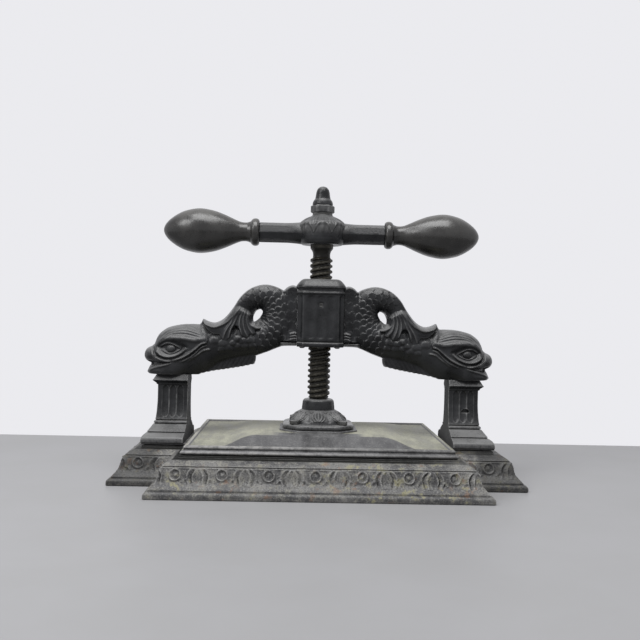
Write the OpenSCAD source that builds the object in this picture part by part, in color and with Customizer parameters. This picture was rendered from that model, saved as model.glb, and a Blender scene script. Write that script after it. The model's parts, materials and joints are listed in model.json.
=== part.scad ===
// Cast-iron copying press with two dolphin arms.
// +X runs to the right along the handle, +Y to the back and +Z up.
// The origin is the middle of the footprint on the table. Lengths are in millimetres.

/* [Platen] */
// Width of the platen
platen_w = 300; // [270:1:330]
// Depth of the platen
platen_d = 232; // [205:1:255]
// Height of the round moulding on the platen's edge
platen_edge_h = 7; // [5:0.5:9]
// Height of the thin rim above that moulding
platen_rim_h = 2; // [1.5:0.5:4]
// Width of the thin rim
platen_rim_w = 5; // [3:0.5:8]
// Rise of the hipped middle above the panels
hump_h = 8; // [6:0.5:11]
// Width of the flat top of the hump
hump_top_w = 140; // [120:1:160]
// Depth of the flat top of the hump
hump_top_d = 128; // [112:1:144]
// Run of the hump's slopes
hump_run = 46; // [38:1:50]
// Ledge of the square pad round the bell's flange
pad_ledge = 3.8; // [2:0.2:8]
// Thickness of that pad
pad_t = 1.8; // [1:0.2:3]

/* [Base] */
// Ledge of the bed's table beyond the platen
bed_ledge = 2.5; // [1:0.5:8]
// Height of the base casting
base_h = 42; // [38:1:50]
// Wall of the hollow base
base_wall = 9; // [6:0.5:12]
// Thickness of the bed's table
base_top_t = 10; // [7:0.5:13]
// Height of the bottom fillet of the moulding
base_fillet_h = 7.8; // [6:0.2:10]
// Run of the rounded top of that fillet
fillet_round = 3.2; // [2:0.2:4.4]
// Height of the hollow apron above the fillet
apron_h = 6.8; // [5:0.2:9]
// Run of the apron
apron_run = 10.5; // [7:0.5:14]
// Height of the round ornament band
band_h = 17; // [15:0.5:19]
// Run of the ornament band
band_run = 6; // [4:0.5:8]
// Height of the top fillet
top_fillet_h = 3.5; // [2:0.5:5]
// Run of the whole moulding from the table to the top fillet
moulding_run = 30.5; // [26:0.5:36]
// Diameter of a rosette on the ornament band
rosette_d = 13.4; // [10:0.2:15]
// Spacing of the rosettes, before they are spread evenly
rosette_pitch = 48.5; // [44:0.5:56]
// Projection of the band's ornament
ornament_out = 1.4; // [0.8:0.1:2.2]
// Shift of the rosettes along the front and back edges
ornament_shift = -4.7; // [-5:0.1:5]

/* [Pillars] */
// Gap between the platen's side and a pillar
pillar_gap = 5.5; // [3:0.5:10]
// Width of a pillar's shaft
pillar_w = 36; // [30:1:42]
// Depth of a pillar's shaft
pillar_d = 28; // [24:1:36]
// Height of a pillar
pillar_h = 77.5; // [72:0.5:86]
// Height of the stepped plinth
plinth_h = 24; // [20:0.5:28]
// Outward run of the plinth
plinth_run_x = 12.5; // [8:0.5:16]
// Run of the plinth to the front and back
plinth_run_y = 39; // [30:1:46]
// Ledge of the foot round the plinth
foot_ledge = 0.5; // [0.5:0.5:6]
// Height of the capital
capital_h = 10.5; // [8:0.5:14]
// Projection of the capital
capital_out = 5.5; // [3:0.5:8]
// Width of a flute
flute_w = 7.6; // [6:0.2:9]
// Depth of a flute
flute_depth = 1.6; // [1:0.2:2.4]
// Land between two flutes
flute_land = 1.2; // [0.8:0.2:1.6]
// Height of the casting slot in the right pillar, above the base
slot_z = 40.5; // [34:0.5:50]
// Distance of that slot from the pillar's middle
slot_x = 3; // [0:0.5:6]
// Width of that slot
slot_w = 9; // [6:0.5:12]

/* [Crosshead] */
// Height of the crosshead's foot above the pillars
arm_rise = 36.3; // [32:0.1:42]
// Width of the nut box
box_w = 55.8; // [52:0.2:62]
// Depth of the nut box
box_d = 55; // [54:0.5:62]
// Height of the nut box
box_h = 60; // [56:0.5:66]
// Cut of the box's upright corners
box_chamfer = 7; // [4:0.5:9]
// Height of the lip under the box
lip_h = 5.9; // [5:0.1:8]
// Projection of the lip
lip_out = 2.2; // [1:0.2:4]
// Height of the cap
cap_h = 15; // [12:0.5:18]
// Height of the hollow neck under the cap
cap_neck_h = 3; // [2:0.5:4]
// Depth of that hollow neck
cap_neck_in = 1.6; // [1:0.2:2.4]
// Overhang of the cap's edge over the box
cap_out = 1.4; // [0.6:0.2:2.4]
// Width of the cap's flat top
cap_top_w = 46; // [40:1:50]
// Diameter of the studs that tie the arms to the box
stud_d = 8; // [6:0.5:10]

/* [Dolphins] */
// Half thickness of the neck pad that meets the box
neck_half_t = 19; // [15:0.5:24]
// Width of the chin pad on the pillar
chin_w = 40; // [34:1:42]
// Depth of the chin pad
chin_d = 32; // [26:1:36]
// Depth of the tie rod's hole in the chin
chin_hole_h = 22; // [16:1:24]
// Diameter of a tie rod
tie_rod_d = 12; // [8:0.5:14]

/* [Screw] */
// Outside diameter of the thread
thread_d = 27; // [25:0.5:27.5]
// Depth of the thread
thread_depth = 2.4; // [2:0.1:2.6]
// Rise in one turn
screw_lead = 13.32; // [11:0.02:16]
// Play between the threads
thread_play = 0.4; // [0.35:0.05:0.5]
// Diameter of the journal in the bell
journal_d = 20.4; // [18:0.2:20.6]
// Diameter of the groove for the split collar
groove_d = 15; // [12:0.5:16]
// Height of the split collar
collar_h = 5; // [4:0.5:6]
// Height of the toe under the groove
toe_h = 4; // [3:0.5:6]
// Thickness of the thrust disc under the toe
disc_t = 2.5; // [2:0.5:4]
// Gap between the cap and the handle's hub when the press is closed
handle_clear = 41.5; // [30:0.5:60]
// Length of the unthreaded neck and shoulder under the hub
shoulder_h = 15; // [11:0.5:18]
// Diameter of the shoulder
shoulder_d = 27.5; // [25:0.5:32]
// Width across the square that carries the hub
square_w = 17; // [14:0.5:18]
// Diameter of the stud for the acorn nut
top_stud_d = 13; // [10:0.5:14]

/* [Nut] */
// Outside diameter of the nut
nut_d = 33; // [31.5:0.5:34]
// Length of the nut above its flange
nut_h = 50; // [40:1:52]
// Diameter of the nut's flange
nut_flange_d = 52; // [50:0.5:53]
// Thickness of the flange
nut_flange_t = 4.2; // [3.5:0.1:4.6]
// Diameter of the flange screws
flange_screw_d = 4; // [3:0.5:4.5]
// Height of the set screw above the box's foot
set_screw_z = 44; // [36:1:48]
// Diameter of the set screw
set_screw_d = 5; // [4:0.5:6]

/* [Bell] */
// Diameter of the bell's collar
bell_d = 38.6; // [36:0.2:42]
// Height of the bell above its flange
bell_h = 28; // [24:0.5:32]
// Diameter of the flared skirt
skirt_d = 71; // [66:1:74]
// Margin of the flange beyond the middle of its bolts
flange_margin = 14.2; // [12:0.2:18]
// Thickness of the flange
flange_t = 5.9; // [4.5:0.1:8]
// Cut of the flange's corners
flange_cut = 18.5; // [14:0.5:21]
// Spacing of the bell's bolts
bolt_spacing = 56; // [54:1:58]
// Diameter of the bell's bolts
bolt_d = 6; // [4:0.5:7]

/* [Handle] */
// Height of the hub
hub_h = 36.4; // [32:0.4:42]
// Diameter of the hub
hub_d = 56; // [48:1:60]
// Width of the hub over the roots of the bars
hub_w = 59; // [56:1:66]
// Height of the bars' centre above the hub's foot
bar_z = 14; // [13:0.5:20]
// Width across the flats of a bar
bar_w = 23.4; // [18:0.2:25]
// Distance from the screw to a bar's end
bar_reach = 76; // [66:1:90]
// Length of a pear grip with its ring
grip_l = 114.5; // [100:0.5:130]
// Greatest diameter of a grip
grip_d = 53.8; // [46:0.2:60]
// Diameter of the ring at a grip's neck
ring_d = 33.4; // [28:0.2:38]
// Width of that ring
ring_w = 9; // [6:0.5:12]
// Diameter of the spigot in a grip
spigot_d = 13; // [10:0.5:15]
// Length of the spigot
spigot_l = 36; // [26:1:44]

/* [Acorn nut] */
// Width across the flats of the acorn nut
acorn_flats = 25.4; // [22:0.2:30]
// Height of the hexagon
acorn_hex_h = 9; // [7:0.5:12]
// Height of the acorn above the hexagon
acorn_h = 23.2; // [18:0.2:28]
// Diameter of the washer
washer_d = 24; // [20:1:30]
// Thickness of the washer
washer_t = 2.5; // [1.5:0.5:4]

/* [Hidden] */
$fn = 64;

iron = "#2f3236";
worn_iron = "#585a55";
steel = "#6b675f";
bronze = "#8a6a3c";

// Clearance of a part that only fits, of a running fit and of a cored hole, and overlap of cutters
fit = 0.1;
run_fit = 0.15;
cored_fit = 0.3;
over = 1;

// Places along the base and the arms
bed_w = platen_w + 2 * (bed_ledge + moulding_run);
bed_d = platen_d + 2 * (bed_ledge + moulding_run);
pillar_in = platen_w / 2 + pillar_gap;
pillar_x = pillar_in + pillar_w / 2;
foot_span = 2 * (pillar_in + pillar_w + plinth_run_x + foot_ledge + moulding_run);
foot_d = pillar_d + 2 * (plinth_run_y + foot_ledge + moulding_run);
flange_w = bolt_spacing + 2 * flange_margin;
pad_w = flange_w + 2 * pad_ledge;

// Heights from the table upward
pillar_top = base_h + pillar_h;
lip_z = pillar_top + arm_rise;
box_z = lip_z + lip_h;
box_top = box_z + box_h;
cap_top = box_top + cap_h;
hub_z = cap_top + handle_clear;
hub_top = hub_z + hub_h;
acorn_z = hub_top + washer_t;
panel_z = base_h + platen_edge_h;
pad_z = panel_z + hump_h;
flange_z = pad_z + pad_t;
bell_top = flange_z + flange_t + bell_h;
thread_bottom = bell_top + 1;
thread_top = hub_z - shoulder_h;
top_stud_top = acorn_z + acorn_hex_h + acorn_h / 2;

// The split collar lies half in the platen and half in the bell
collar_play = 0.3;
collar_z = flange_z - 0.75 * collar_h;
collar_d = nut_d;
toe_z = collar_z - collar_play - toe_h;
disc_z = toe_z - disc_t;

// Tie rods run from nuts inside the feet up into the chins
tie_nut_h = 8;
tie_washer_t = 2.5;
tie_boss_d = 30;
tie_tail = 3;
tie_seat_z = base_fillet_h + tie_tail + tie_nut_h + tie_washer_t;

// Outlines shared by several pieces

// Points of a shallow curve from a to b, without a. A positive bulge bows to the left of the way
function curve(a, b, bulge, steps = 5) = [
    for (i = [1:steps])
        let (t = i / steps, d = b - a)
            a + d * t + [-d[1], d[0]] * (4 * bulge * t * (1 - t))
];

// Moulding of the base as [inset, height], from the height z0 up
apron_z = base_fillet_h + apron_h;
band_z = apron_z + band_h;
band_bulge = 0.12;
function base_moulding(z0, steps) = concat(
    [[0, z0], [0, base_fillet_h - fillet_round]],
    curve([0, base_fillet_h - fillet_round], [fillet_round, base_fillet_h], 0.2, steps),
    curve([fillet_round, base_fillet_h], [apron_run, apron_z], -0.08, steps),
    curve([apron_run, apron_z], [apron_run + band_run, band_z], band_bulge, steps),
    curve([apron_run + band_run, band_z], [moulding_run, base_h - top_fillet_h], -0.1, steps),
    [[moulding_run, base_h]]
);

// A closed outline of the given width whose two sides follow a profile of [inset, height]
function two_sided(width, profile) = concat(
    [for (p = profile) [width / 2 - p[0], p[1]]],
    [for (i = [len(profile) - 1:-1:0]) [profile[i][0] - width / 2, profile[i][1]]]
);

// Extrudes an outline drawn in X and Z along the whole Y, or one drawn in Y and Z along X
module along_y(length, outline) {
    rotate([90, 0, 0]) linear_extrude(length, center = true) polygon(outline);
}
module along_x(length, outline) {
    rotate([90, 0, 90]) linear_extrude(length, center = true) polygon(outline);
}

// A block with the same moulding on its four sides, mitred at the corners
module moulded_block(w, d, profile) {
    intersection() {
        along_y(d + over, two_sided(w, profile));
        along_x(w + over, two_sided(d, profile));
    }
}

// A square with cut corners
function cut_square(w, d, cut) = [
    [w / 2, -d / 2 + cut], [w / 2, d / 2 - cut], [w / 2 - cut, d / 2], [cut - w / 2, d / 2],
    [-w / 2, d / 2 - cut], [-w / 2, cut - d / 2], [cut - w / 2, -d / 2], [w / 2 - cut, -d / 2]
];

// A round bar along X from x0 to x1
module bar_x(x0, x1, d) {
    translate([x0, 0, 0]) rotate([0, 90, 0]) cylinder(d = d, h = x1 - x0);
}

// Places its children at both pillars
module at_pillars() {
    for (side = [-1, 1]) translate([side * pillar_x, 0, 0]) children();
}

// Base

module base_hollow() {
    intersection() {
        union() {
            moulded_block(bed_w - 2 * base_wall, bed_d - 2 * base_wall, base_moulding(-over, 1));
            moulded_block(foot_span - 2 * base_wall, foot_d - 2 * base_wall, base_moulding(-over, 1));
        }
        translate([-foot_span / 2, -bed_d / 2, -over])
            cube([foot_span, bed_d, base_h - base_top_t + over]);
    }
}

// Rings with leaves beside them in a row on a band that faces the front. Leaves beyond the corners
// of the block are left out
band_turn = atan(band_run / band_h);
rosette_rise = 0.55;
rosette_z = apron_z + rosette_rise * band_h;
rosette_inset = apron_run + band_run * rosette_rise
    - 4 * band_bulge * band_h * rosette_rise * (1 - rosette_rise);
rosette_hollow = 0.64;
leaf_d = 7;
leaf_l = 14;
leaf_place = 15.4;
module rosette() difference() {
    translate([0, 0, -leaf_d]) cylinder(d = rosette_d, h = leaf_d + ornament_out, $fn = 10);
    cylinder(d = rosette_hollow * rosette_d, h = 2 * ornament_out, $fn = 6);
}
module leaf() translate([0, 0, ornament_out - leaf_d / 2 * cos(30)]) rotate([90, 0, 0])
    cylinder(d = leaf_d, h = leaf_l, center = true, $fn = 6);
module band_ornament(middle, row, block_w, block_d) {
    count = max(1, round(row / rosette_pitch));
    limit = block_w / 2 - apron_run - band_run - leaf_d / 2;
    for (i = [0:count - 1]) {
        x = middle + (i - (count - 1) / 2) * row / count;
        translate([x, rosette_inset - block_d / 2, rosette_z]) rotate([90 - band_turn, 0, 0]) {
            rosette();
            for (away = [-leaf_place, leaf_place])
                if (abs(x + away) < limit) translate([away, 0, 0]) leaf();
        }
    }
}
module bed_ornament() {
    foot_gap = (foot_span - bed_w) / 2;
    side_gap = (bed_d - foot_d) / 2;
    for (turn = [0, 180]) rotate(turn) {
        band_ornament(ornament_shift, bed_w - 2 * rosette_inset, bed_w, bed_d);
        rotate(90) band_ornament(0, foot_d - 2 * rosette_inset, foot_d, foot_span);
        for (side = [-1, 1]) {
            foot_middle = side * ((bed_w + foot_gap) / 2 - rosette_inset) + ornament_shift;
            band_ornament(foot_middle, foot_gap, foot_span, foot_d);
            side_middle = side * ((foot_d + side_gap) / 2 - rosette_inset);
            rotate(90) band_ornament(side_middle, side_gap, bed_d, bed_w);
        }
    }
}

module bed() color(worn_iron) difference() {
    union() {
        difference() {
            union() {
                moulded_block(bed_w, bed_d, base_moulding(0, 4));
                moulded_block(foot_span, foot_d, base_moulding(0, 4));
            }
            base_hollow();
        }
        bed_ornament();
        at_pillars() translate([0, 0, tie_seat_z])
            cylinder(d = tie_boss_d, h = base_h - tie_seat_z - base_top_t / 2);
    }
    at_pillars() cylinder(d = tie_rod_d + 2 * fit, h = base_h + over);
}

// Pillars

// Profile of a pillar as [share of the plinth's run, share of the capital's projection, height]
shaft_foot = base_h + plinth_h;
shaft_head = pillar_top - capital_h;
shaft_h = shaft_head - shaft_foot;
pillar_steps = [
    [1, 0, base_h], [1, 0, base_h + 0.13 * plinth_h], [0.92, 0, base_h + 0.34 * plinth_h],
    [0.84, 0, base_h + 0.4 * plinth_h], [0.66, 0, base_h + 0.46 * plinth_h], [0.6, 0, base_h + 0.52 * plinth_h],
    [0.22, 0, base_h + 0.84 * plinth_h], [0.18, 0, shaft_foot - 1], [0.08, 0, shaft_foot],
    [0.02, 0, shaft_foot + 0.34 * shaft_h], [0, 0, shaft_foot + 0.54 * shaft_h], [0, 0, shaft_head],
    [0, 0.25, shaft_head + 0.2 * capital_h], [0, 1, shaft_head + 0.5 * capital_h],
    [0, 0.85, shaft_head + 0.65 * capital_h], [0, 0.25, pillar_top]
];
function pillar_profile(run) = [for (p = pillar_steps) [-p[0] * run - p[1] * capital_out, p[2]]];
function one_sided(profile) = concat(
    [for (p = profile) [pillar_w / 2 - p[0], p[1]]],
    [[-pillar_w / 2, pillar_top], [-pillar_w / 2, base_h]]
);

flute_count = 3;
flute_foot = shaft_foot + 4;
flute_top = shaft_head - 1;
module flute(length) {
    r = (flute_w * flute_w / 4 + flute_depth * flute_depth) / (2 * flute_depth);
    translate([0, flute_depth - r, 0]) {
        cylinder(r1 = 0.6 * r, r2 = r, h = flute_w);
        translate([0, 0, flute_w]) cylinder(r = r, h = length - flute_w);
    }
}

module pillar_body() {
    difference() {
        intersection() {
            along_y(2 * (pillar_d + plinth_run_y), one_sided(pillar_profile(plinth_run_x)));
            along_x(4 * pillar_w, two_sided(pillar_d, pillar_profile(plinth_run_y)));
        }
        for (end = [0, 1], i = [0:flute_count - 1])
            translate([(i - (flute_count - 1) / 2) * (flute_w + flute_land), 0, flute_foot])
                rotate(180 * end) translate([0, -pillar_d / 2, 0]) flute(flute_top - flute_foot);
        translate([0, 0, base_h - over]) cylinder(d = tie_rod_d + 2 * fit, h = pillar_h + 2 * over);
    }
}

module right_pillar() color(iron) translate([pillar_x, 0, 0]) difference() {
    pillar_body();
    translate([slot_x, -pillar_d / 2, base_h + slot_z])
        cube([slot_w, pillar_d, slot_w / 2], center = true);
}

module left_pillar() color(iron) mirror([1, 0, 0]) translate([pillar_x, 0, 0]) pillar_body();

// Dolphin arms

// The arm is drawn by hand in the plane of the press: x runs out from the box's side and z up from the
// pillar's top. Its length follows the distance from the box to the pillar
drawn_reach = 145.6;
arm_stretch = (pillar_x - box_w / 2) / drawn_reach;
function arm_at(p) = [-box_w / 2 - p[0] * arm_stretch, p[1]];

// Stations of the body from the brow to the tail as [x, z, half height, half thickness]
body_stations = [
    [172, 27, 5, 7], [168, 29, 17, 14], [157, 30, 25, 19], [141, 30.5, 29, 21.5], [122, 30.5, 29, 22],
    [101, 35, 23, 21], [80, 40, 21.5, 20], [61, 43.5, 22, 20], [43, 45.5, 20, 20],
    [28, 55.5, 19, 20], [22, 73, 20, 19.5], [26, 88, 18, 18.5], [39, 95.5, 14, 17.5],
    [54, 93, 14, 17], [65, 83.5, 13.5, 17], [72, 72, 12, 17], [78, 62, 8, 15]
];
// A smooth line through the stations
function spline(p0, p1, p2, p3, t) =
    0.5 * (2 * p1 + (p2 - p0) * t + (2 * p0 - 5 * p1 + 4 * p2 - p3) * t * t
        + (3 * p1 - p0 - 3 * p2 + p3) * t * t * t);
function smooth_line(points, steps) = let (last = len(points) - 1) [
    for (i = [0:last - 1], k = [0:steps - 1])
        spline(points[max(i - 1, 0)], points[i], points[i + 1], points[min(i + 2, last)], k / steps),
    points[last]
];

ring_sides = 18;
function ring_at(line, i) =
    let (
        last = len(line) - 1,
        here = arm_at(line[i]),
        way = arm_at(line[min(i + 1, last)]) - arm_at(line[max(i - 1, 0)]),
        up = [-way[1], way[0]] / norm(way)
    )
    [
        for (k = [0:ring_sides - 1])
            let (a = 360 * k / ring_sides, rise = line[i][2] * cos(a))
                [here[0] + up[0] * rise, line[i][3] * sin(a), here[1] + up[1] * rise]
    ];

// A closed tube through the rings of a line of stations
module tube(line) {
    count = len(line);
    points = [for (i = [0:count - 1]) each ring_at(line, i)];
    sides = [
        for (i = [0:count - 2], k = [0:ring_sides - 1])
            let (a = i * ring_sides + k, b = i * ring_sides + (k + 1) % ring_sides)
                each [[a, b, b + ring_sides], [a, b + ring_sides, a + ring_sides]]
    ];
    first = [for (k = [ring_sides - 1:-1:0]) k];
    final = [for (k = [0:ring_sides - 1]) (count - 1) * ring_sides + k];
    polyhedron(points, concat(sides, [first, final]));
}

// A flattened ball in the arm's plane, with half thickness t
module pebble(p, r, t) {
    at = arm_at(p);
    translate([at[0], 0, at[1]]) scale([1, t / r, 1]) sphere(r, $fn = 14);
}

// Lobes of the tail's fan, from their common root over a bend to a rounded end
fan_root = [60, 86];
fan_lobes = [
    [[84, 68], [108, 59]], [[80, 62], [97, 51]], [[74, 62], [84, 45.5]],
    [[68, 62], [71, 47]], [[62, 63], [58, 49.5]], [[58.5, 67], [47, 55.5]]
];
module fan_lobe(bend, end) {
    hull() {
        pebble(fan_root, 5, 18);
        pebble(bend, 5.5, 20.5);
    }
    hull() {
        pebble(bend, 5.5, 20.5);
        pebble(end, 6, 22);
    }
}

// Beads along the lower edge of the belly's strip
strip_start = [116, 8.5];
strip_end = [52, 18.5];
strip_beads = 9;
module belly_strip() {
    for (i = [0:strip_beads - 1])
        let (a = strip_start + (strip_end - strip_start) * i / strip_beads)
        let (b = strip_start + (strip_end - strip_start) * (i + 1) / strip_beads)
            hull() {
                pebble(a, 4, 9);
                pebble((a + b) / 2, 4.6, 10);
                pebble(b + [0, 6], 4, 12);
            }
}

module head() {
    hull() {
        pebble([167, 21], 9, 12);
        pebble([176, 24], 5, 9);
        pebble([150, 22], 12, 19);
    }
    hull() {
        pebble([175, 3.6], 3.4, 9);
        pebble([160, 5], 5, 15);
        pebble([128, 7], 7, 16);
    }
    hull() {
        pebble([113, 66], 0.6, 7);
        pebble([109, 60], 6, 10);
        pebble([92, 62], 8, 17);
    }
    for (side = [-1, 1]) {
        eye = arm_at([147.5, 30.5]);
        hull() for (along = [-5, 5]) translate([eye[0] + along, side * 20, eye[1]]) sphere(3.4, $fn = 14);
        hull() for (along = [-9, 9]) translate([eye[0] + along, side * 19, eye[1] + 5]) sphere(3, $fn = 14);
    }
}

// Neck against the box: an upright pad, a foot along the lip and a rounded shoulder
neck_out = 14;
module neck() {
    head_z = arm_rise + lip_h + box_h;
    translate([-box_w / 2 - neck_out, -neck_half_t, arm_rise + lip_h])
        cube([neck_out, 2 * neck_half_t, box_h - 3]);
    hull() {
        pebble([0, arm_rise + 4], 4, neck_half_t);
        pebble([17, arm_rise + 4], 4, neck_half_t);
    }
    hull() {
        pebble([2, head_z], 6, neck_half_t);
        pebble([13, head_z - 3], 5, neck_half_t - 2);
    }
}

chin_pad_h = 14;
arm_stud_zs = [lip_h + 12, lip_h + box_h - 18];
arm_stud_bite = 13;
box_bite = (box_w - nut_d) / 2 - 2;

module dolphin() translate([0, 0, pillar_top]) difference() {
    union() {
        tube(smooth_line(body_stations, 3));
        for (lobe = fan_lobes) fan_lobe(lobe[0], lobe[1]);
        head();
        belly_strip();
        neck();
        translate([-pillar_x - chin_w / 2, -chin_d / 2, 0]) cube([chin_w, chin_d, chin_pad_h]);
    }
    // Mouth
    hull() {
        pebble([176, 12.6], 2.6, 30);
        pebble([147, 15.6], 0.8, 30);
    }
    // Room for the cap's edge
    translate([-box_w / 2 - cap_out - fit, -pillar_d, arm_rise + lip_h + box_h + cap_neck_h - fit])
        cube([box_w, 2 * pillar_d, cap_h]);
    // Everything below the chin and inside the box
    translate([-2 * pillar_x, -pillar_d, -pillar_h]) cube([2 * pillar_x, 2 * pillar_d, pillar_h]);
    translate([-box_w / 2, -pillar_d, 0]) cube([box_w, 2 * pillar_d, 2 * pillar_h]);
    // Holes for the tie rod and the studs
    translate([-pillar_x, 0, -over])
        cylinder(d = tie_rod_d + 2 * cored_fit, h = chin_hole_h + over, $fn = 24);
    for (z = arm_stud_zs) translate([0, 0, arm_rise + z])
        bar_x(-box_w / 2 - arm_stud_bite - fit, 0, stud_d + 2 * cored_fit, $fn = 16);
}

module left_dolphin() color(iron) dolphin();
module right_dolphin() color(iron) mirror([1, 0, 0]) dolphin();

module arm_studs() color(steel)
    for (side = [0, 180], z = arm_stud_zs) translate([0, 0, lip_z + z]) rotate(side)
        bar_x(box_w / 2 - box_bite, box_w / 2 + arm_stud_bite, stud_d);

// Crosshead

box_flute_count = 3;
box_flute_pitch = 11.6;
box_flute_depth = 0.8;
box_flute_land = 2.2;
box_flute_end = 4;
screw_bore_d = thread_d + 2;
flange_screw_r = (nut_d + nut_flange_d) / 4;
module flange_screw_places() {
    for (a = [0:90:270]) rotate(a) translate([flange_screw_r, 0, lip_z]) children();
}

module crosshead() color(iron) difference() {
    union() {
        translate([0, 0, lip_z]) linear_extrude(lip_h)
            polygon(cut_square(box_w, box_d + 2 * lip_out, box_chamfer));
        translate([0, 0, box_z]) linear_extrude(box_h) polygon(cut_square(box_w, box_d, box_chamfer));
    }
    // Nut, its flange and the screw
    translate([0, 0, lip_z - over]) cylinder(d = nut_d + 2 * fit, h = nut_flange_t + nut_h + over);
    translate([0, 0, lip_z - over]) cylinder(d = nut_flange_d + 2 * fit, h = nut_flange_t + over);
    translate([0, 0, lip_z]) cylinder(d = screw_bore_d, h = lip_h + box_h + over);
    // Screws and studs
    flange_screw_places()
        cylinder(d = flange_screw_d + 2 * fit, h = nut_flange_t + 2 * flange_screw_d + fit);
    translate([0, 0, box_z + set_screw_z]) rotate([90, 0, 0])
        cylinder(d = set_screw_d + 2 * fit, h = box_d / 2 + over);
    for (side = [0, 180], z = arm_stud_zs) translate([0, 0, lip_z + z]) rotate(side)
        bar_x(box_w / 2 - box_bite - fit, box_w, stud_d + 2 * fit);
    // Shallow flutes on the front and back
    for (end = [0, 1], i = [0:box_flute_count - 1])
        translate([(i - (box_flute_count - 1) / 2) * box_flute_pitch, 0, box_z + box_flute_end])
            rotate(180 * end) translate([0, -box_d / 2, 0]) flute_groove(box_h - 2 * box_flute_end);
}

// A shallow groove with a ball end at its foot, cut into a face
module flute_groove(length) {
    half = (box_flute_pitch - box_flute_land) / 2;
    r = (half * half + box_flute_depth * box_flute_depth) / (2 * box_flute_depth);
    translate([0, box_flute_depth - r, r]) {
        cylinder(r = r, h = length - 2 * r);
        sphere(r);
        translate([0, 0, length - 2 * r]) sphere(r);
    }
}

// Cap with sloping sides and a hollow neck
module crosshead_cap() color(iron) {
    side = (box_w - cap_top_w) / 2;
    slope_h = cap_h - cap_neck_h;
    edge_z = box_top + cap_neck_h;
    slope_z = edge_z + 0.15 * slope_h;
    cap_sides = concat(
        [[cap_neck_in, box_top], [cap_neck_in, edge_z], [-cap_out, edge_z], [-cap_out, slope_z]],
        curve([-cap_out, slope_z], [side, cap_top], 0.05)
    );
    across = sqrt(2) * (box_w / 2 + box_d / 2 - box_chamfer);
    difference() {
        intersection() {
            along_y(2 * box_d, two_sided(box_w, cap_sides));
            along_x(2 * box_w, two_sided(box_d, cap_sides));
            rotate(45) intersection() {
                along_y(3 * box_d, two_sided(across, cap_sides));
                along_x(3 * box_d, two_sided(across, cap_sides));
            }
        }
        translate([0, 0, box_top - over]) cylinder(d = screw_bore_d, h = cap_h + 2 * over);
    }
}

// Screw thread

starts = 2;
crest_share = 0.36;
flank_share = 0.15;
slices_per_turn = 16;
// Four points on an arc of the given width. The flats of a cutter clear the round
function arc_points(middle, width, r, cutter) = let (reach = cutter ? r / cos(width / 6) : r) [
    for (i = [-1.5:1:1.5]) reach * [cos(middle + width * i / 3), sin(middle + width * i / 3)]
];
function thread_section(grow) =
    let (
        turn = 360 / starts,
        wider = 2 * 360 * grow / screw_lead,
        crest = turn * crest_share + wider,
        root = turn * (1 - crest_share - 2 * flank_share) - wider,
        crest_r = thread_d / 2 + grow,
        root_r = crest_r - thread_depth
    )
    [
        for (s = [0:starts - 1]) each concat(
            arc_points(s * turn, crest, crest_r, grow > 0),
            arc_points((s + 0.5) * turn, root, root_r, grow > 0)
        )
    ];
// Right-handed thread from z0 to z1, grown by the play where it cuts the nut
module thread(z0, z1, grow) {
    turns = (z1 - z0) / screw_lead;
    translate([0, 0, z0]) rotate(360 * z0 / screw_lead)
        linear_extrude(z1 - z0, twist = -360 * turns, slices = ceil(turns * slices_per_turn), segments = 0)
            polygon(thread_section(grow));
}

module screw_nut() color(bronze) difference() {
    union() {
        translate([0, 0, lip_z]) cylinder(d = nut_flange_d, h = nut_flange_t);
        translate([0, 0, lip_z]) cylinder(d = nut_d, h = nut_flange_t + nut_h);
    }
    flange_screw_places() translate([0, 0, -over])
        cylinder(d = flange_screw_d + 2 * fit, h = nut_flange_t + 2 * over);
    thread(lip_z - screw_lead, box_top, thread_play);
}

module nut_flange_screws() color(iron) flange_screw_places() {
    cylinder(d = flange_screw_d, h = nut_flange_t + 2 * flange_screw_d);
    difference() {
        intersection() {
            translate([0, 0, -0.6 * flange_screw_d])
                cylinder(d = 2 * flange_screw_d, h = 0.6 * flange_screw_d);
            translate([0, 0, 0.5 * flange_screw_d]) sphere(1.2 * flange_screw_d);
        }
        cube([3 * flange_screw_d, 0.25 * flange_screw_d, 0.8 * flange_screw_d], center = true);
    }
}

set_screw_sink = 1.2;
set_screw_gap = 0.3;
module nut_set_screw() color(steel) translate([0, 0, box_z + set_screw_z]) rotate([90, 0, 0]) {
    head_y = box_d / 2 - set_screw_sink;
    toe_y = nut_d / 2 + set_screw_gap;
    difference() {
        translate([0, 0, toe_y]) cylinder(d = set_screw_d, h = head_y - toe_y);
        translate([0, 0, head_y]) cube([2, 0.25, 0.4] * set_screw_d, center = true);
    }
}

module press_screw() color(steel) {
    thread(thread_bottom, thread_top, 0);
    neck_r = journal_d / 2;
    rotate_extrude() polygon([
        [0, toe_z], [neck_r - 1, toe_z], [neck_r, toe_z + 1], [neck_r, collar_z - collar_play],
        [groove_d / 2, collar_z - collar_play], [groove_d / 2, collar_z + collar_h + collar_play],
        [neck_r, collar_z + collar_h + collar_play], [neck_r, hub_z - 0.6 * shoulder_h],
        [shoulder_d / 2, hub_z - 0.25 * shoulder_h], [shoulder_d / 2, hub_z],
        [top_stud_d / 2, hub_z], [top_stud_d / 2, top_stud_top], [0, top_stud_top]
    ]);
    translate([-square_w / 2, -square_w / 2, hub_z - 0.1]) cube([square_w, square_w, hub_h - 0.4]);
}

// Handle

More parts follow.
